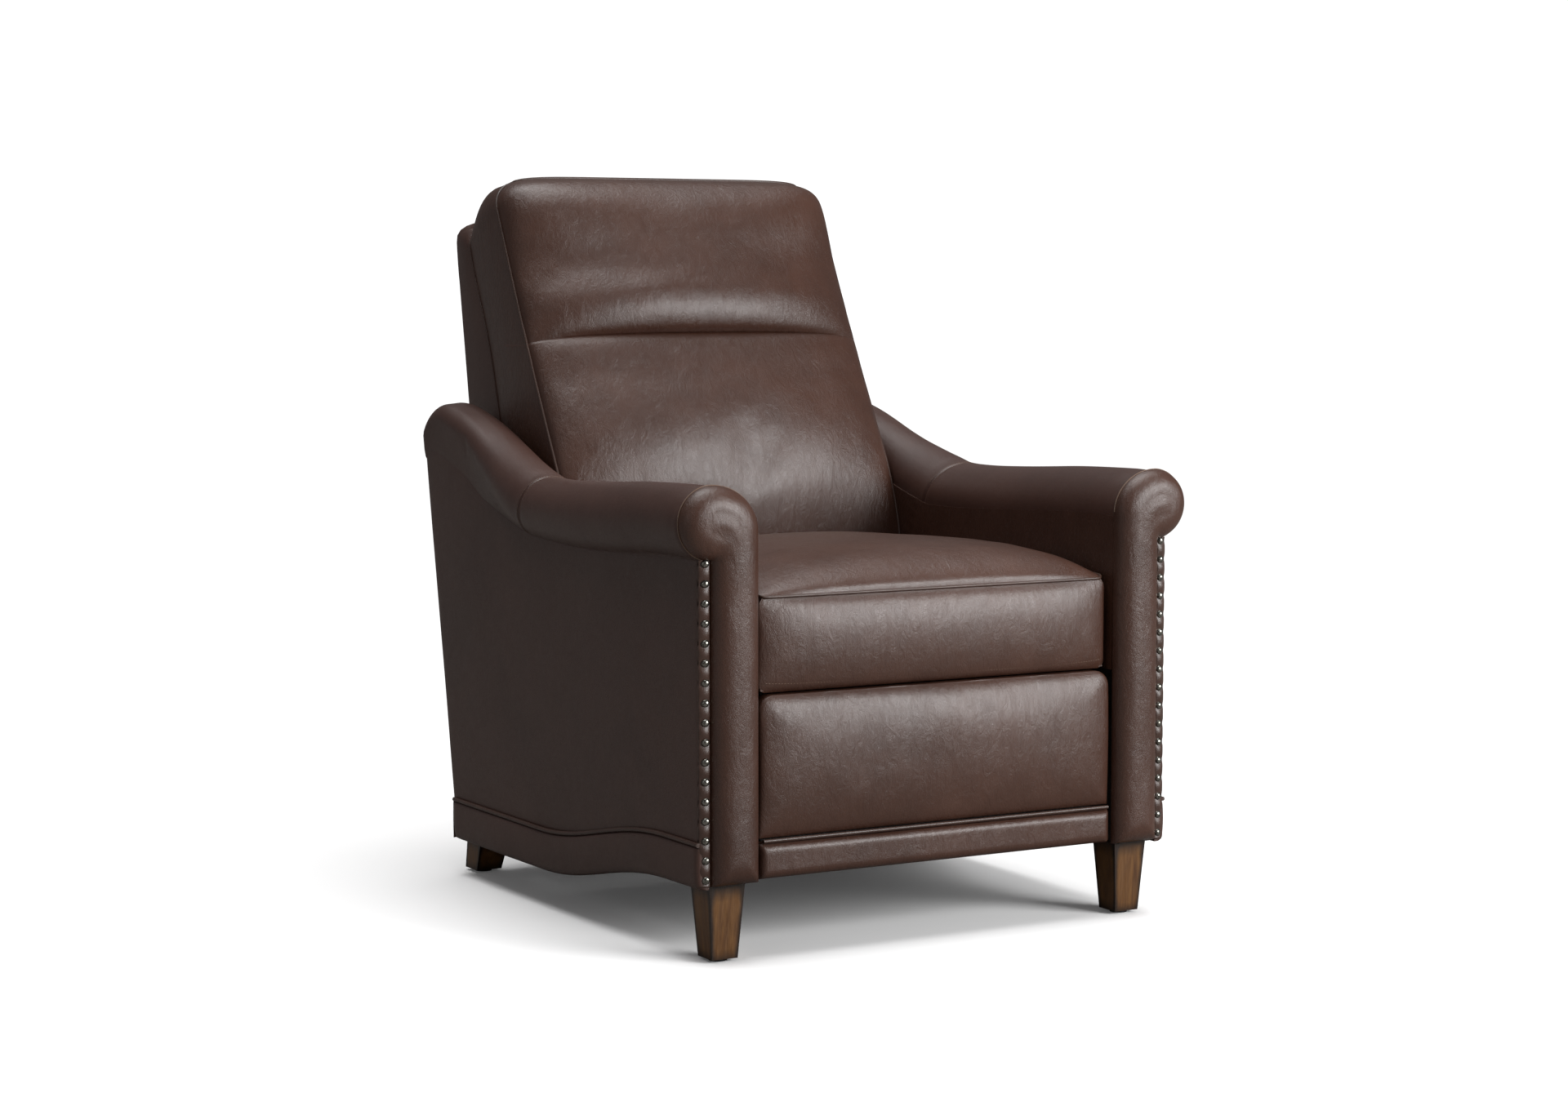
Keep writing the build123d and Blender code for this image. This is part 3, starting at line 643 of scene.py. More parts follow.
def build_outside_arm(side, tag):
    rows, cols, turn = 60, 90, 7
    s = np.concatenate([[0, 0.003, 0.008], np.linspace(0.015, 1, cols - 3)])
    t = np.linspace(0, 1, rows)
    grid = np.zeros((rows, cols + turn, 3))
    for r in range(rows):
        guess = 4 + 850 * s
        z = (wave(guess) + 58) * (1 - t[r]) + (roll_low(guess) + 8) * t[r]
        y = 1 + (rear_edge(z) - 12 - 1) * s
        z = (wave(y) + 58) * (1 - t[r]) + (roll_low(y) + 8) * t[r]
        belly = 2.6 * hump(2 * s - 1, 2) * hump(2 * t[r] - 1, 2)
        grid[r, :cols] = np.stack([ARM - 1.2 + belly, y, z], axis=1)
        grid[r, :3, 0] -= np.array([2.0, 0.6, 0.1])
        for k in range(turn):
            angle = (k + 1) / turn * pi / 2
            edge = rear_edge(z[-1])
            grid[r, cols + k] = (ARM - 13.2 + 12 * cos(angle), edge - 12 + 12 * sin(angle), z[-1])
    grid[..., 0] += ripples(grid, 260, 0.45, 11)
    loop = rim(grid)
    back = loop.copy()
    back[:, 0] = 352.5
    at_rear = loop[:, 1] > rear_edge(loop[:, 2]) - 4
    back[at_rear, 0] = 297
    back[at_rear, 1] -= 1
    obj = panel(f"outside_arm_leather_{tag}", flip(grid, side), flip(back, side), hide_flat, "base", steps=6)
    upholstery(f"outside_arm_{tag}")


both(build_outside_arm)


def build_inside_arm(side, tag):
    rows, cols = 44, 100
    s = np.linspace(0, 1, cols)
    t = np.linspace(0, 1, rows)
    grid = np.zeros((rows, cols, 3))
    for r in range(rows):
        z = 345 + (roll_top(4 + 850 * s) - 60 - 345) * t[r]
        y = 5 + (rear_edge(z) - 3 - 5) * s
        z = 345 + (roll_top(y) - 60 - 345) * t[r]
        belly = 3.2 * hump(2 * s - 1, 2) * sin(pi * min(t[r] * 0.8, 1)) ** 0.7
        seam = 522 - 27 * np.clip((z - 500) / 64, -0.3, 1)
        groove = 1.6 * np.exp(-(((y - seam) / 3.5) ** 2))
        grid[r] = np.stack([281 - belly * 0.7 + groove, y, z], axis=1)
    grid[..., 0] += ripples(grid, 240, 0.4, 12)
    back = rim(grid)
    back = np.stack([np.full(len(back), 295.0), back[:, 1], back[:, 2]], axis=1)
    obj = panel(f"inside_arm_leather_{tag}", flip(grid, side), flip(back, side), hide, "base")
    upholstery(f"inside_arm_{tag}")


both(build_inside_arm)


def roll_section(y, merge):
    """The roll's cross-section at a depth: a scroll, or where merge is 1, the arm's rounded top edge."""
    top = float(roll_top(y))
    low = float(roll_low(y))
    inner = ARM_INNER
    count = (5, 16, 30, 3)
    radius = min((top - low + 1.5) / 2, 48.5)
    centre = top - radius
    a = [(inner, z) for z in np.linspace(low - 2, centre - 12, count[0])]
    for k in range(1, count[1] + 1):
        angle = pi - k / count[1] * pi / 2
        a.append((346.5 + (346.5 - inner) * cos(angle), centre - 12 + (radius + 12) * sin(angle)))
    last = -pi / 2 + 0.42
    for k in range(1, count[2] + 1):
        angle = pi / 2 + (last - pi / 2) * k / count[2]
        a.append((346.5 + radius * cos(angle), centre + radius * sin(angle)))
    for k in range(1, count[3] + 1):
        a.append((366 - 6 * k, low - 2 + 0.3 * k))
    b = [(inner, z) for z in np.linspace(low - 2, top - 44, count[0])]
    for k in range(1, count[1] + 1):
        angle = pi - k / count[1] * pi / 2
        b.append((inner + 46 + 46 * cos(angle), top - 44 + 44 * sin(angle)))
    for k in range(1, count[2] + 1):
        t = k / count[2]
        if t < 0.25:
            b.append((inner + 46 + (344 - inner - 46) * t / 0.25, top - 1.5 * t / 0.25))
        elif t < 0.7:
            angle = (t - 0.25) / 0.45 * pi / 2
            b.append((344 + 24 * sin(angle), top - 25.5 + 24 * cos(angle)))
        else:
            b.append((368 - 3.0 * (t - 0.7) / 0.3, top - 25.5 + (low - top + 25.5) * (t - 0.7) / 0.3))
    for k in range(1, count[3] + 1):
        b.append((366 - 6 * k, low - 2 + 0.3 * k))
    a, b = np.array(a), np.array(b)
    return a * (1 - merge) + b * merge


def build_arm_roll(side, tag):
    tip = [2.5, 3.5, 5.5, 9, 14, 20]
    spans = np.linspace(28, 460, 64), np.linspace(465, 480, 8), np.linspace(486, 884, 62)
    depths = np.concatenate([tip, *spans])
    rings = []
    for y in depths:
        merge = float(smooth((y - 480) / 270))
        section = roll_section(y, merge)
        centre = np.array([330.0, float(roll_top(y)) - 46])
        pinch = 1 - 0.05 * np.exp(-(((y - 2.5) / 3.2) ** 2)) - 0.012 * np.exp(-(((y - 14) / 14) ** 2))
        section = centre + (section - centre) * pinch
        # the seam crosses the roll at a slant: further back low down on the outside
        slant = np.interp(section[:, 1] - centre[1], [-46, 46], [26, -4])
        depth = y + slant * exp_window(y, 475, 90)
        if y > 700:
            over = max(0.0, (y - 806) / 78)
            drop = 70 * (1 - sqrt(max(0.0, 1 - over**2)))
            keep = np.clip((section[:, 1] - (float(roll_top(y)) - 110)) / 110, 0, 1)
            section = section - np.stack([np.zeros(len(section)), drop * keep], axis=1)
            depth = 700 + (depth - 700) / 184 * (rear_edge(section[:, 1]) - 700.5)
            bend = 1 - np.sqrt(1 - np.clip((depth - rear_edge(section[:, 1]) + 13) / 13, 0, 1) ** 2)
            section[:, 0] = np.clip(section[:, 0], ARM_INNER + 9 * bend, 368 - 13 * bend)
        rings.append(np.stack([section[:, 0], depth, section[:, 1]], axis=1))
    rings = np.array(rings)
    k = int(np.argmin(np.abs(depths - SEAM_DEPTH)))
    seam = np.abs(np.arange(len(depths)) - k)
    groove = np.exp(-((seam / 1.1) ** 2)) * 1.5 - np.exp(-(((seam - 3.2) / 1.6) ** 2)) * 0.5
    centre = rings.mean(axis=1, keepdims=True)
    outward = rings - centre
    outward[..., 1] = 0
    outward /= np.linalg.norm(outward, axis=2, keepdims=True)
    rings = rings - outward * groove[:, None, None]
    fold = np.exp(-np.clip(depths, 0, 60) / 11)[:, None] * np.sin(np.arange(rings.shape[1]) * 1.15)[None, :]
    rings = rings + outward * (fold * 0.55 + ripples(rings, 150, 0.42, 13))[..., None]
    n, m = rings.shape[:2]
    verts = flip(rings.reshape(-1, 3), side)
    faces = quads(n, m, closed=True)
    faces.append(tuple(range(m)))
    faces.append(tuple((n - 1) * m + c for c in range(m)))
    obj = make(f"arm_roll_leather_{tag}", row(verts), faces, hide_flat, "base", sharp=60)
    upholstery(f"arm_roll_{tag}")
    for offset, label in ((-2, "front"), (2, "rear")):
        ring = rings[k + offset, 9:52]
        out = outward[k + offset, 9:52]
        path = flip(ring + out * 0.25, side)
        label = f"arm_stitches_{label}_{tag}"
        thread_row = stitches(label, path, flip(out, side), 4.2, 2.9, 0.42, thread, "base")


def exp_window(y, centre, width):
    """1 at a centre, falling off smoothly on both sides."""
    return float(np.exp(-(((y - centre) / width) ** 2)))


both(build_arm_roll)


def front_outline():
    """The arm front from the front: (inner x, outer x, height) from the foot to the scroll's top."""
    heights = np.concatenate([[104, 104.6, 106, 109, 113], np.linspace(118, 516, 86), [519, 521, 522.3]])
    rows = [(280.5, 350.0, z) for z in heights]
    for k in range(58):
        angle = radians(-86.2 + 176.0 * k / 57)
        z = SCROLL_Z + SCROLL_RADIUS * sin(angle)
        x_out = SCROLL_X + SCROLL_RADIUS * cos(angle)
        x_in = 280.5
        if z >= INNER_SCROLL_Z:
            x_in = SCROLL_X - 66.5 * sqrt(max(0.0, 1 - ((z - INNER_SCROLL_Z) / 59.1) ** 2))
        rows.append((x_in, max(x_out, x_in + 0.3), z))
    return rows


def build_arm_front(side, tag):
    rows = front_outline()
    cols = 33
    u = (1 + crowd(cols, 0.35)) / 2
    grid = np.array([[(a + (b - a) * k, 0.0, z) for k in u] for a, b, z in rows])
    near = edge_distance(grid, step=4)
    t = np.clip(near / 33, 0, 1)
    rise = (1 - (1 - t) ** 2.3) ** 0.55
    grid[..., 1] = 2.5 - 24.5 * rise - 1.6 * np.clip((near - 33) / 15, 0, 1)
    grid[..., 1] += ripples(grid, 70, 0.32, 14) * rise
    back = grid.copy()
    back[..., 1] = 3.6
    obj = slab(f"arm_front_leather_{tag}", flip(grid, side), flip(back, side), hide, "base", sharp=None)
    upholstery(f"arm_front_{tag}")
    scroll = []
    for a in np.radians(range(-80, 91, 4)):
        scroll.append((SCROLL_X + 48.3 * cos(a), 1.6, SCROLL_Z + 48.3 * sin(a)))
    for a in np.radians(range(4, 91, 4)):
        scroll.append((SCROLL_X - 66.4 * sin(a), 1.6, INNER_SCROLL_Z + 59.2 * cos(a)))
    edge = tube(f"scroll_seam_{tag}", flip(resample(scroll, 4), side), 0.8, thread, "base", sides=8)


both(build_arm_front)

# ---- nail trim

NAIL_PITCH = 25.4
TOP_NAIL = 520
nail_heights = [TOP_NAIL - NAIL_PITCH * k for k in range(17)]
turn = radians(9)  # how far the strip's face turns outward


def build_nail_strip(side, tag):
    heights = np.arange(105, 525.1, 1.9)
    cols = 13
    u = np.linspace(0, 1, cols)
    grid = np.zeros((len(heights), cols, 3))
    for r, z in enumerate(heights):
        phase = (z - TOP_NAIL) / NAIL_PITCH
        puff = 0.5 - 0.5 * cos(2 * pi * phase)
        outer = ARM + 0.6 - 1.3 * (1 - puff) ** 3
        inner = 350.4
        x = inner + (outer - inner) * u
        lift = -1.0 + (x - 350) * sin(turn)
        depth = lift - (0.5 + 3.0 * puff**0.8) * np.sin(pi * u) ** 0.6
        grid[r] = np.stack([x, depth, np.full(cols, z)], axis=1)
    grid[..., 1] += ripples(grid, 16, 0.14, 15)
    back = rim(grid)
    back[:, 1] = 3.4
    face, back = flip(grid, side), flip(back, side)
    obj = panel(f"nail_strip_leather_{tag}", face, back, hide_welt, "base", steps=2, sharp=None)
    upholstery(f"nail_strip_{tag}")


both(build_nail_strip)


def build_nails(side, tag):
    verts, faces = [], []
    rng = np.random.default_rng(31)
    for z in nail_heights:
        centre = np.array([357.2, -1.1, z])
        out = np.array([sin(turn), -cos(turn), 0.0])
        right = np.array([cos(turn), sin(turn), 0.0])
        up = np.array([0, 0, 1.0])
        tilt = rng.normal(size=2) * 0.05
        start = len(verts)
        for k in range(8):
            angle = k / 8 * pi / 2
            radius, height = 5.2 * cos(angle), 3.6 * sin(angle)
            if k == 0:
                radius, height = 5.5, -0.4
            for a in range(24):
                across, along = cos(a * pi / 12), sin(a * pi / 12)
                lean = radius * (tilt[0] * across + tilt[1] * along)
                verts.append(centre + (right * across + up * along) * radius + out * (height + lean))
        verts.append(centre + out * 3.7)
        faces += [tuple(start + i for i in f) for f in quads(8, 24, closed=True)]
        top = start + 8 * 24
        faces += [(start + 7 * 24 + a, start + 7 * 24 + (a + 1) % 24, top) for a in range(24)]
    verts = row(flip(verts, side))
    obj = make(f"nailheads_domed_{tag}", verts, faces, nail_metal, "base", sharp=None)
    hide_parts(f"nailheads_{tag}")


both(build_nails)

# ---- base bands


def build_base_band(side, tag):
    y = np.concatenate([[-0.5, 1, 4], np.linspace(8, 752, 110), [756, 758.5, 760]])
    rows = 22
    v = np.linspace(0, 1, rows)
    grid = np.zeros((rows, len(y), 3))
    for r, t in enumerate(v):
        z = wave(y) - 1 + 56 * t
        round_low = 6 * (1 - sqrt(1 - (1 - min(t * 56 / 7, 1)) ** 2))
        round_high = 3 * (1 - sqrt(1 - (1 - min((1 - t) * 56 / 4, 1)) ** 2))
        x = np.full(len(y), 369.2 + 1.6 * sin(pi * t)) - round_low - round_high
        x[:3] -= np.array([6.0, 2.5, 0.6])
        x[-3:] -= np.array([0.6, 2.5, 6.0])
        lean = 5 * (1 - t) * smooth((y - 700) / 60)
        grid[r] = np.stack([x, y - lean, z], axis=1)
    grid[..., 0] += ripples(grid, 120, 0.4, 16)
    back = rim(grid)
    back[:, 0] = 352.2
    obj = panel(f"base_band_leather_{tag}", flip(grid, side), flip(back, side), hide_flat, "base", steps=3)
    upholstery(f"base_band_{tag}")
    path = [(367.2, d, wave(d) + 57.6) for d in np.linspace(0.5, 759, 150)]
    welt = tube(f"base_welt_{tag}", flip(path, side), 3.0, hide_welt, "base", sides=12)
    upholstery(f"band_welt_{tag}")


both(build_base_band)

x = 367 * crowd(90, 0.8)
grid = np.zeros((16, len(x), 3))
for r, t in enumerate(np.linspace(0, 1, 16)):
    belly = 765.0 + 1.2 * sin(pi * t) ** 0.5 - 3 * np.clip((np.abs(x) - 360) / 7, 0, 1) ** 2
    grid[r] = np.stack([x, belly, np.full(len(x), 53.5 + 58 * t)], axis=1)
back = rim(grid)
back[:, 1] = 762.6
obj = panel("rear_band_leather", grid, back, hide_flat, "base", steps=2)
upholstery("rear_band")

# ---- footrest


def corner(z, top, radius, half):
    """Half width of a face whose top corners are rounded."""
    over = np.clip(z - (top - radius), 0, radius)
    return half - radius + np.sqrt(np.maximum(radius**2 - over**2, 0))


upper = 317 + 27.8 * np.sin(np.linspace(0.06, 1, 14) * pi / 2)
heights = np.concatenate([[159, 159.6, 161, 164], np.linspace(168, 316, 40), upper])
columns = crowd(84, 0.45)
grid = np.array([[(corner(z, 344.8, 22, 276.0) * u, 0.0, z) for u in columns] for z in heights])
near = edge_distance(grid)
t = np.clip(near / 48, 0, 1)
rise = (1 - (1 - t) ** 2.4) ** 0.58
lift = np.clip((grid[..., 2] - 159) / 183.5, 0, 1)
side_fall = np.cos(grid[..., 0] / 276.5 * pi / 2) ** 0.3
grid[..., 1] = 7 - 7.5 * rise - 11.5 * np.sin(pi * lift**1.10) ** 0.7 * side_fall
grid[..., 1] += (ripples(grid, 150, 0.8, 21) + ripples(grid, 60, 0.25, 22)) * rise
back = rim(grid)
back[:, 1] = 25.3
footrest_pad = panel("footrest_pad_leather", grid, back, hide, "footrest", steps=4, sharp=None)
swell(footrest_pad, grid, near, cap=0.008)
upholstery("footrest_pad")

heights = np.concatenate([[106, 106.6, 108, 111], np.linspace(115, 148, 10), [151, 152.6, 153.1]])
grid = np.array([[(276.5 * u, 0.0, z) for u in columns] for z in heights])
t = np.clip(edge_distance(grid) / 12, 0, 1)
grid[..., 1] = 9 - 12.5 * (1 - (1 - t) ** 2.4) ** 0.58 + ripples(grid, 110, 0.4, 23) * t
back = rim(grid)
back[:, 1] = 25.3
obj = panel("footrest_band_leather", grid, back, hide, "footrest", steps=3, sharp=None)
upholstery("footrest_band")
path = [(x, -0.4, 156.2) for x in np.linspace(-272, 272, 110)]
welt = tube("footrest_band_piping", path, 2.6, hide_welt, "footrest", sides=12)
upholstery("footrest_welt")

# ---- seat cushion

SEAT_HALF = 271.5
# (depth, height) down the boxing and back over the top, in the middle of the seat and at its edge
front_middle = [(12, 347.6), (6, 351), (2, 358), (-2.5, 380), (-4.0, 408), (-2, 438), (3.5, 461), (9, 470)]
front_edge = [(14, 347.6), (13, 352), (12.5, 358), (12.2, 380), (12, 410), (12, 440)]
front_edge += [(12.2, 462), (12.6, 470)]
top_middle = [(9.5, 472.5), (8.5, 476), (11, 482.5), (18, 491), (28, 499), (42, 506.5), (62, 513)]
top_middle += [(92, 517), (140, 519.5), (230, 520), (330, 516)]
top_middle += [(420, 511), (480, 505), (515, 498), (532, 488), (536, 474)]
top_edge = [(13, 472), (14.5, 473.5), (18, 474), (25, 474.5), (36, 475), (52, 475.5), (75, 476)]
top_edge += [(105, 476.5), (150, 477), (235, 477), (330, 475)]
top_edge += [(420, 472), (480, 469), (510, 466), (524, 464), (530, 460)]


def finer(points, count):
    """A smooth curve through points, as that many points."""
    points = np.asarray(points, float)
    length = travelled(points)
    at = np.linspace(0, length[-1], count)
    return np.stack([through(list(zip(length, points[:, k])))(at) for k in range(points.shape[1])], axis=1)


def crowned(edge, middle, columns, half, power, root):
    """A face between an edge profile and a middle profile, both (depth, height) by row."""
    powers = np.broadcast_to(np.asarray(power, float).reshape(-1, 1), (len(edge), 1))
    full = np.clip(1 - np.abs(columns)[None, :] ** powers, 0, 1) ** root
    grid = np.zeros((len(edge), len(columns), 3))
    grid[..., 0] = np.asarray(half).reshape(-1, 1) * columns[None, :]
    for k in (0, 1):
        grid[..., k + 1] = edge[:, k, None] * (1 - full) + middle[:, k, None] * full
    return grid


columns = crowd(96, 0.4)
edge = finer(front_edge, 22)
upper, lower = (edge[:, 1] - 460) / 12, (358 - edge[:, 1]) / 11
round_off = np.maximum(np.clip(upper, 0, 1), np.clip(lower, 0, 1))
half = SEAT_HALF - 10 * (1 - np.sqrt(1 - round_off**2 * 0.99))
boxing = crowned(edge, finer(front_middle, 22), columns, half, 6, 0.7)
edge = finer(top_edge, 96)
round_off = np.clip(1 - (edge[:, 0] - 13) / 18, 0, 1)
half = SEAT_HALF - 9 * (1 - np.sqrt(1 - round_off**2 * 0.99))
top = crowned(edge, finer(top_middle, 96), columns, half, 3.4, 0.55)
grid = np.concatenate([boxing, top])
inside = np.clip(edge_distance(grid[..., [0, 2, 1]]) / 60, 0, 1)
grid[..., 2] += (ripples(grid, 190, 1.3, 31) + ripples(grid, 75, 0.4, 32)) * inside
back = rim(grid)
back[:, 2] = 349.6
back[:, 0] *= 0.993
side_out = np.zeros_like(back)
side_out[:, 0] = np.sign(back[:, 0]) * (np.abs(back[:, 0]) > 268)
seat_cushion = panel(
    "seat_cushion_leather", grid, back, hide, "seat", steps=8, belly=-2.0, outward=side_out, sharp=60
)
along = travelled(grid[:, 48])
to_seam = np.min(np.abs(along[:, None] - along[[0, 21, 22, -1]][None, :]), axis=1)
swell(seat_cushion, grid, np.minimum(to_seam[:, None], SEAT_HALF - np.abs(grid[..., 0])), cap=0.010)
upholstery("seat_cushion")
line = boxing[-1] * 0.5 + top[0] * 0.5
path = np.concatenate([top[-6:0:-1, 0], line, top[1:-5, -1]])
welt = tube("seat_front_welt", resample(path + np.array([0, -0.8, 0.4]), 5), 2.2, hide_welt, "seat")
low = boxing[2] + np.array([0, -0.35, 2.0])
forward = np.array([0.0, -1.0, 0.0])
beads = stitches("seat_bottom_stitches", low[3:-3], forward, 4.4, 3.0, 0.42, thread, "seat")

x = 255.5 * np.linspace(-1, 1, 40)
y = np.linspace(51, 534, 40)
grid = np.zeros((40, 40, 3))
grid[..., 0], grid[..., 1] = np.meshgrid(x, y)
grid[..., 2] = 349.2 - 1.6 * hump(grid[..., 0] / 256, 2) * hump((grid[..., 1] - 292) / 243, 2)
back = rim(grid)
back[:, 2] = 344.6
obj = panel("seat_deck_cloth", grid, back, dust_cloth, "seat", steps=2)
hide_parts("seat_deck")

# ---- back cushions and shell

HALF = 277.0
CREASE_Z = 781  # where the two back cushions meet
# (depth, height) up each cushion, at its edge and in its middle
lumbar_edge = [(546, 430), (546, 466), (549, 500), (562, 545), (586, 601)]
lumbar_edge += [(613, 650), (639, 697), (664, 742), (680, 773), (686.3, 784)]
lumbar_middle = [(553, 430), (550, 466), (546, 510), (541, 555), (543, 603)]
lumbar_middle += [(556, 653), (580, 702), (610, 748), (634, 789), (646, 800)]
head_edge = [(686.3, 784), (691, 794), (701, 812), (722, 853), (742, 893)]
head_edge += [(759, 928), (776, 962), (789, 988), (798, 1006), (805, 1021)]
head_middle = [(646, 800), (637.5, 810), (635, 828), (641, 860), (668, 900)]
head_middle += [(686, 936), (706, 972), (730, 1004), (757, 1023), (793, 1030)]
crease = through([(400, 760), (651, 787), (778, 825), (906, 885), (958, 903)])


def build_back_cushion(name, edge, middle, count, power, seed, top):
    """A back cushion and its boxed sides, which run back to the shell; gives the grid of its face."""
    edge, middle = finer(edge, count), finer(middle, count)
    half = corner(edge[:, 1], 1022.0, 42, HALF) if top else np.full(count, HALF)
    columns = crowd(96, 0.4)
    powers = power + (5.6 * smooth((edge[:, 1] - 890) / 120) if top else np.zeros(count))
    grid = crowned(edge, middle, columns, half, powers, 0.55)
    inside = np.clip(edge_distance(grid) / 70, 0, 1)
    wander = (ripples(grid, 210, 1.5, seed) + ripples(grid, 80, 0.45, seed + 1)) * inside
    grid[..., 1] += wander * -0.89
    grid[..., 2] += wander * 0.45
    loop = rim(grid)
    back = loop.copy()
    index = rim(np.stack(np.meshgrid(np.arange(len(columns)), np.arange(count)), axis=2).astype(float))
    outward = np.zeros_like(back)
    low, high = (CREASE_Z, 958) if top else (425, CREASE_Z)
    for k in range(len(back)):
        share = index[k, 1] / (count - 1)
        u = abs(columns[int(index[k, 0])])
        z = low + (high - low) * share
        back[k] = (loop[k, 0] * (273.5 / HALF), float(crease(z)) - 0.6, z)
        side = np.sign(loop[k, 0])
        if top and index[k, 1] == count - 1:
            back[k] = (loop[k, 0] * 1.02, 902.0, 961.0 + 3 * (1 - u**4))
            outward[k] = (side * 5 * u**12, 4, 10 + 6 * u**8)
        elif top and u > 0.99:
            rise = float(smooth((edge[int(index[k, 1]), 1] - 960) / 60))
            outward[k] = (side * (3 + 3 * rise), 4 * rise, 18 * rise)
        elif u > 0.99:
            outward[k] = (side * 3.0, 0, 0)
    obj = panel(
        f"{name}_leather", grid, back, hide, "backrest", steps=14, belly=1.0, outward=outward, sharp=70
    )
    swell(obj, grid, edge_distance(grid), cap=0.010)
    upholstery(name)
    return grid


low_face = build_back_cushion("lumbar_cushion", lumbar_edge, lumbar_middle, 90, 3.0, 41, False)
face = build_back_cushion("head_cushion", head_edge, head_middle, 70, 2.25, 51, True)
path = np.concatenate([low_face[4:, 0], face[:, 0], face[-1, 1:-1], face[::-1, -1], low_face[:3:-1, -1]])
away = np.where(np.abs(path[:, 0]) > 200, np.sign(path[:, 0]) * 0.6, 0)
path[:, 0] += away
welt = tube("back_welt", resample(path, 5), 2.3, hide_welt, "backrest")

SHELL_WALL = 7
levels = np.concatenate([np.linspace(180, 906, 76), 906 + 52 * np.sin(np.linspace(0.12, 1, 10) * pi / 2)])
front = np.stack([np.interp(levels, [180, 400], [745, 760]), levels], axis=1)
front[levels > 400, 0] = crease(levels[levels > 400])
rear = np.zeros_like(front)
for k, z in enumerate(levels):
    if z <= 906:
        rear[k] = (825.4 + (z - 180) / 722 * 122.6, z - (4.0 if z > 880 else 0))
    else:
        t = (z - 906) / 52
        angle = t * pi * 0.52
        rear[k] = (948 + 6 * sin(t * pi) - 46 * (1 - cos(angle)) ** 2 * 0.9, 906 + 60 * sin(angle))
outer, inner = [], []
for k in range(len(levels)):
    f, r = front[k], rear[k]
    half = corner(r[1], 967.0, 22, 274.0)
    section = []
    span = max(r[0] - f[0], 1.0)
    radius = min(16.0, span * 0.9)
    for t in np.linspace(0, 1, 14):
        section.append((half + 1.6 * sin(pi * t), f[0] + (span - radius) * t, t * (span - radius) / span))
    for t in np.linspace(0, 1, 9)[1:]:
        angle = t * pi / 2
        reach = span - radius + radius * sin(angle)
        section.append((half - radius + radius * cos(angle), f[0] + reach, reach / span))
    for t in np.linspace(0, 1, 26)[1:]:
        section.append(((half - radius) * (1 - t), f[0] + span + 3.0 * sin(pi / 2 * t) ** 0.6, 1.0))
    points = np.array([(a, b, f[1] + (r[1] - f[1]) * c) for a, b, c in section])
    full = np.concatenate([points, flip(points[-2::-1], -1)])
    outer.append(full)
    hollow = full.copy()
    hollow[:, 0] *= (half - SHELL_WALL) / half
    hollow[:, 1] = np.maximum(np.minimum(full[:, 1], full[:, 1].max() - SHELL_WALL), f[0])
    hollow[:, 2] = np.minimum(hollow[:, 2], 952)
    inner.append(hollow)
outer, inner = np.array(outer), np.array(inner)
outer[..., 1] += ripples(outer, 260, 0.6, 61) * np.clip((960 - outer[..., 2]) / 60, 0, 1)
obj = slab("back_shell_leather", outer, inner, hide_flat, "backrest", sharp=60)
upholstery("back_shell")
seam = np.concatenate([outer[20:, 0], outer[-1, 1:-1], outer[:19:-1, -1]])
seam[:, 1] -= 1.0
welt = tube("shell_seam_welt", resample(seam, 5), 1.7, hide_welt, "backrest")

# ---- camera, light and floor


def put(name, data):
    """A new object in the scene."""
    obj = bpy.data.objects.new(name, data)
    bpy.context.collection.objects.link(obj)
    return obj


def by_ray(tree, other, seen, output):
    """Shows the camera one shader and every other ray another."""
    eye = tree.nodes.new("ShaderNodeLightPath")
    choice = tree.nodes.new("ShaderNodeMixShader")
    tree.links.new(eye.outputs["Is Camera Ray"], choice.inputs[0])
    tree.links.new(other.outputs[0], choice.inputs[1])
    tree.links.new(seen.outputs[0], choice.inputs[2])
    tree.links.new(choice.outputs[0], tree.nodes[output].inputs["Surface"])


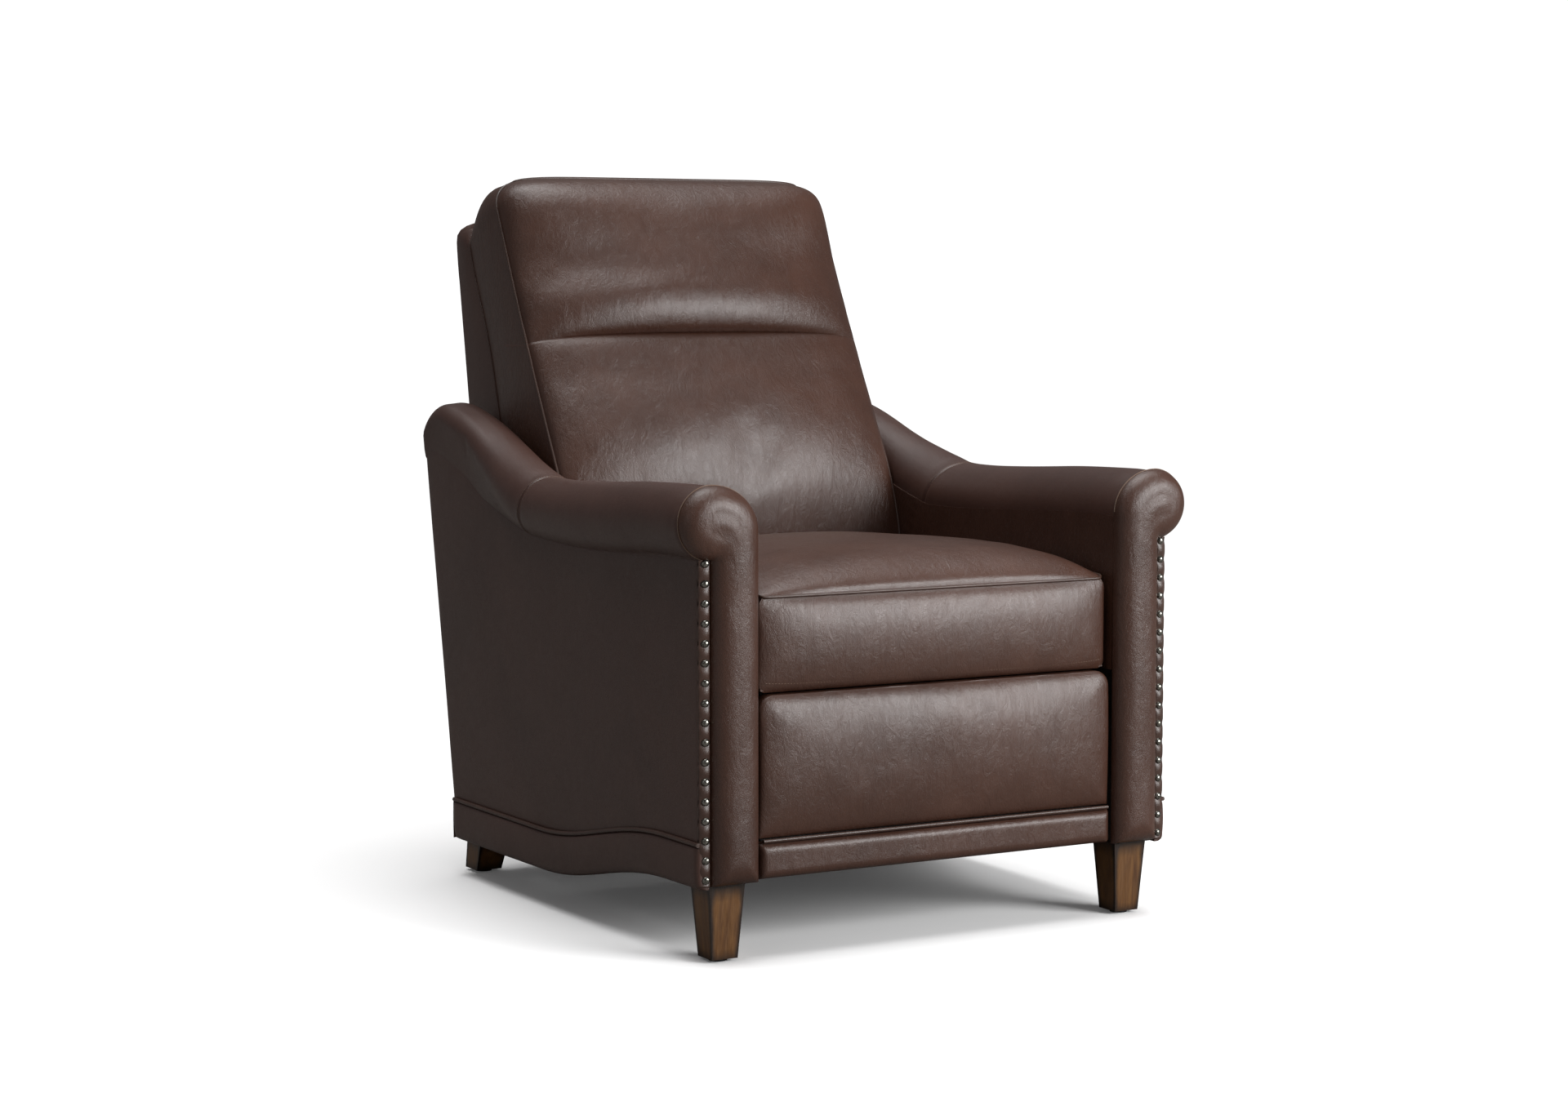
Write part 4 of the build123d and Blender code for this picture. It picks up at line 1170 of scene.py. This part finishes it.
camera = put("camera", bpy.data.cameras.new("camera"))
camera.location = (-2.2768, -3.9893, 0.8802)
camera.rotation_euler = (radians(90 - 4.98), 0, radians(-30.01))
camera.data.lens = 73.04
camera.data.sensor_width = 36
camera.data.clip_end = 100
bpy.context.scene.camera = camera

world = bpy.data.worlds.new("studio")
bpy.context.scene.world = world
world.use_nodes = True
tree = world.node_tree
sky = tree.nodes["Background"]
sky.inputs["Color"].default_value = (1, 0.97, 0.98, 1)
sky.inputs["Strength"].default_value = 0.14
paper_white = tree.nodes.new("ShaderNodeBackground")
paper_white.inputs["Color"].default_value = (1, 1, 1, 1)
paper_white.inputs["Strength"].default_value = 1.15
by_ray(tree, sky, paper_white, "World Output")
bpy.context.scene.view_settings.view_transform = "Standard"


def lamp(name, at, toward, size, power):
    """A soft rectangular light, aimed at a point."""
    data = bpy.data.lights.new(name, "AREA")
    data.shape = "RECTANGLE"
    data.size, data.size_y = size
    data.energy = power
    obj = put(name, data)
    obj.location = at
    obj.rotation_euler = (Vector(toward) - Vector(at)).to_track_quat("-Z", "Y").to_euler()


lamp("front_softbox", (2.0, -3.5, 1.62), (0, 0, 0.62), (2.1, 1.5), 190)
lamp("left_softbox", (-3.4, -1.8, 1.5), (0, 0, 0.5), (1.4, 1.6), 6)
overhead = bpy.data.lights.new("overhead_diffuser", "SUN")
overhead.energy = 3.0
overhead.angle = radians(48)
put("overhead_diffuser", overhead).rotation_euler = (radians(-4), 0, 0)

floor_mesh = bpy.data.meshes.new("floor")
floor_mesh.from_pydata([(-14, -14, 0), (14, -14, 0), (14, 14, 0), (-14, 14, 0)], [], [(0, 1, 2, 3)])
floor = put("floor", floor_mesh)
paper = Nodes("floor_paper")
paper.set("Base Color", (0.95, 0.95, 0.95))
paper.set("Roughness", 0.9)
paper.set("Emission Color", (1, 1, 1))
paper.set("Emission Strength", 0.05)
dim = paper.add("ShaderNodeBsdfDiffuse")
dim.inputs["Color"].default_value = (0.20, 0.19, 0.18, 1)
by_ray(paper.tree, dim, paper.shader, "Material Output")
floor_mesh.materials.append(paper.material)
floor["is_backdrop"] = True

# ---- finish

low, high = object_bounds()
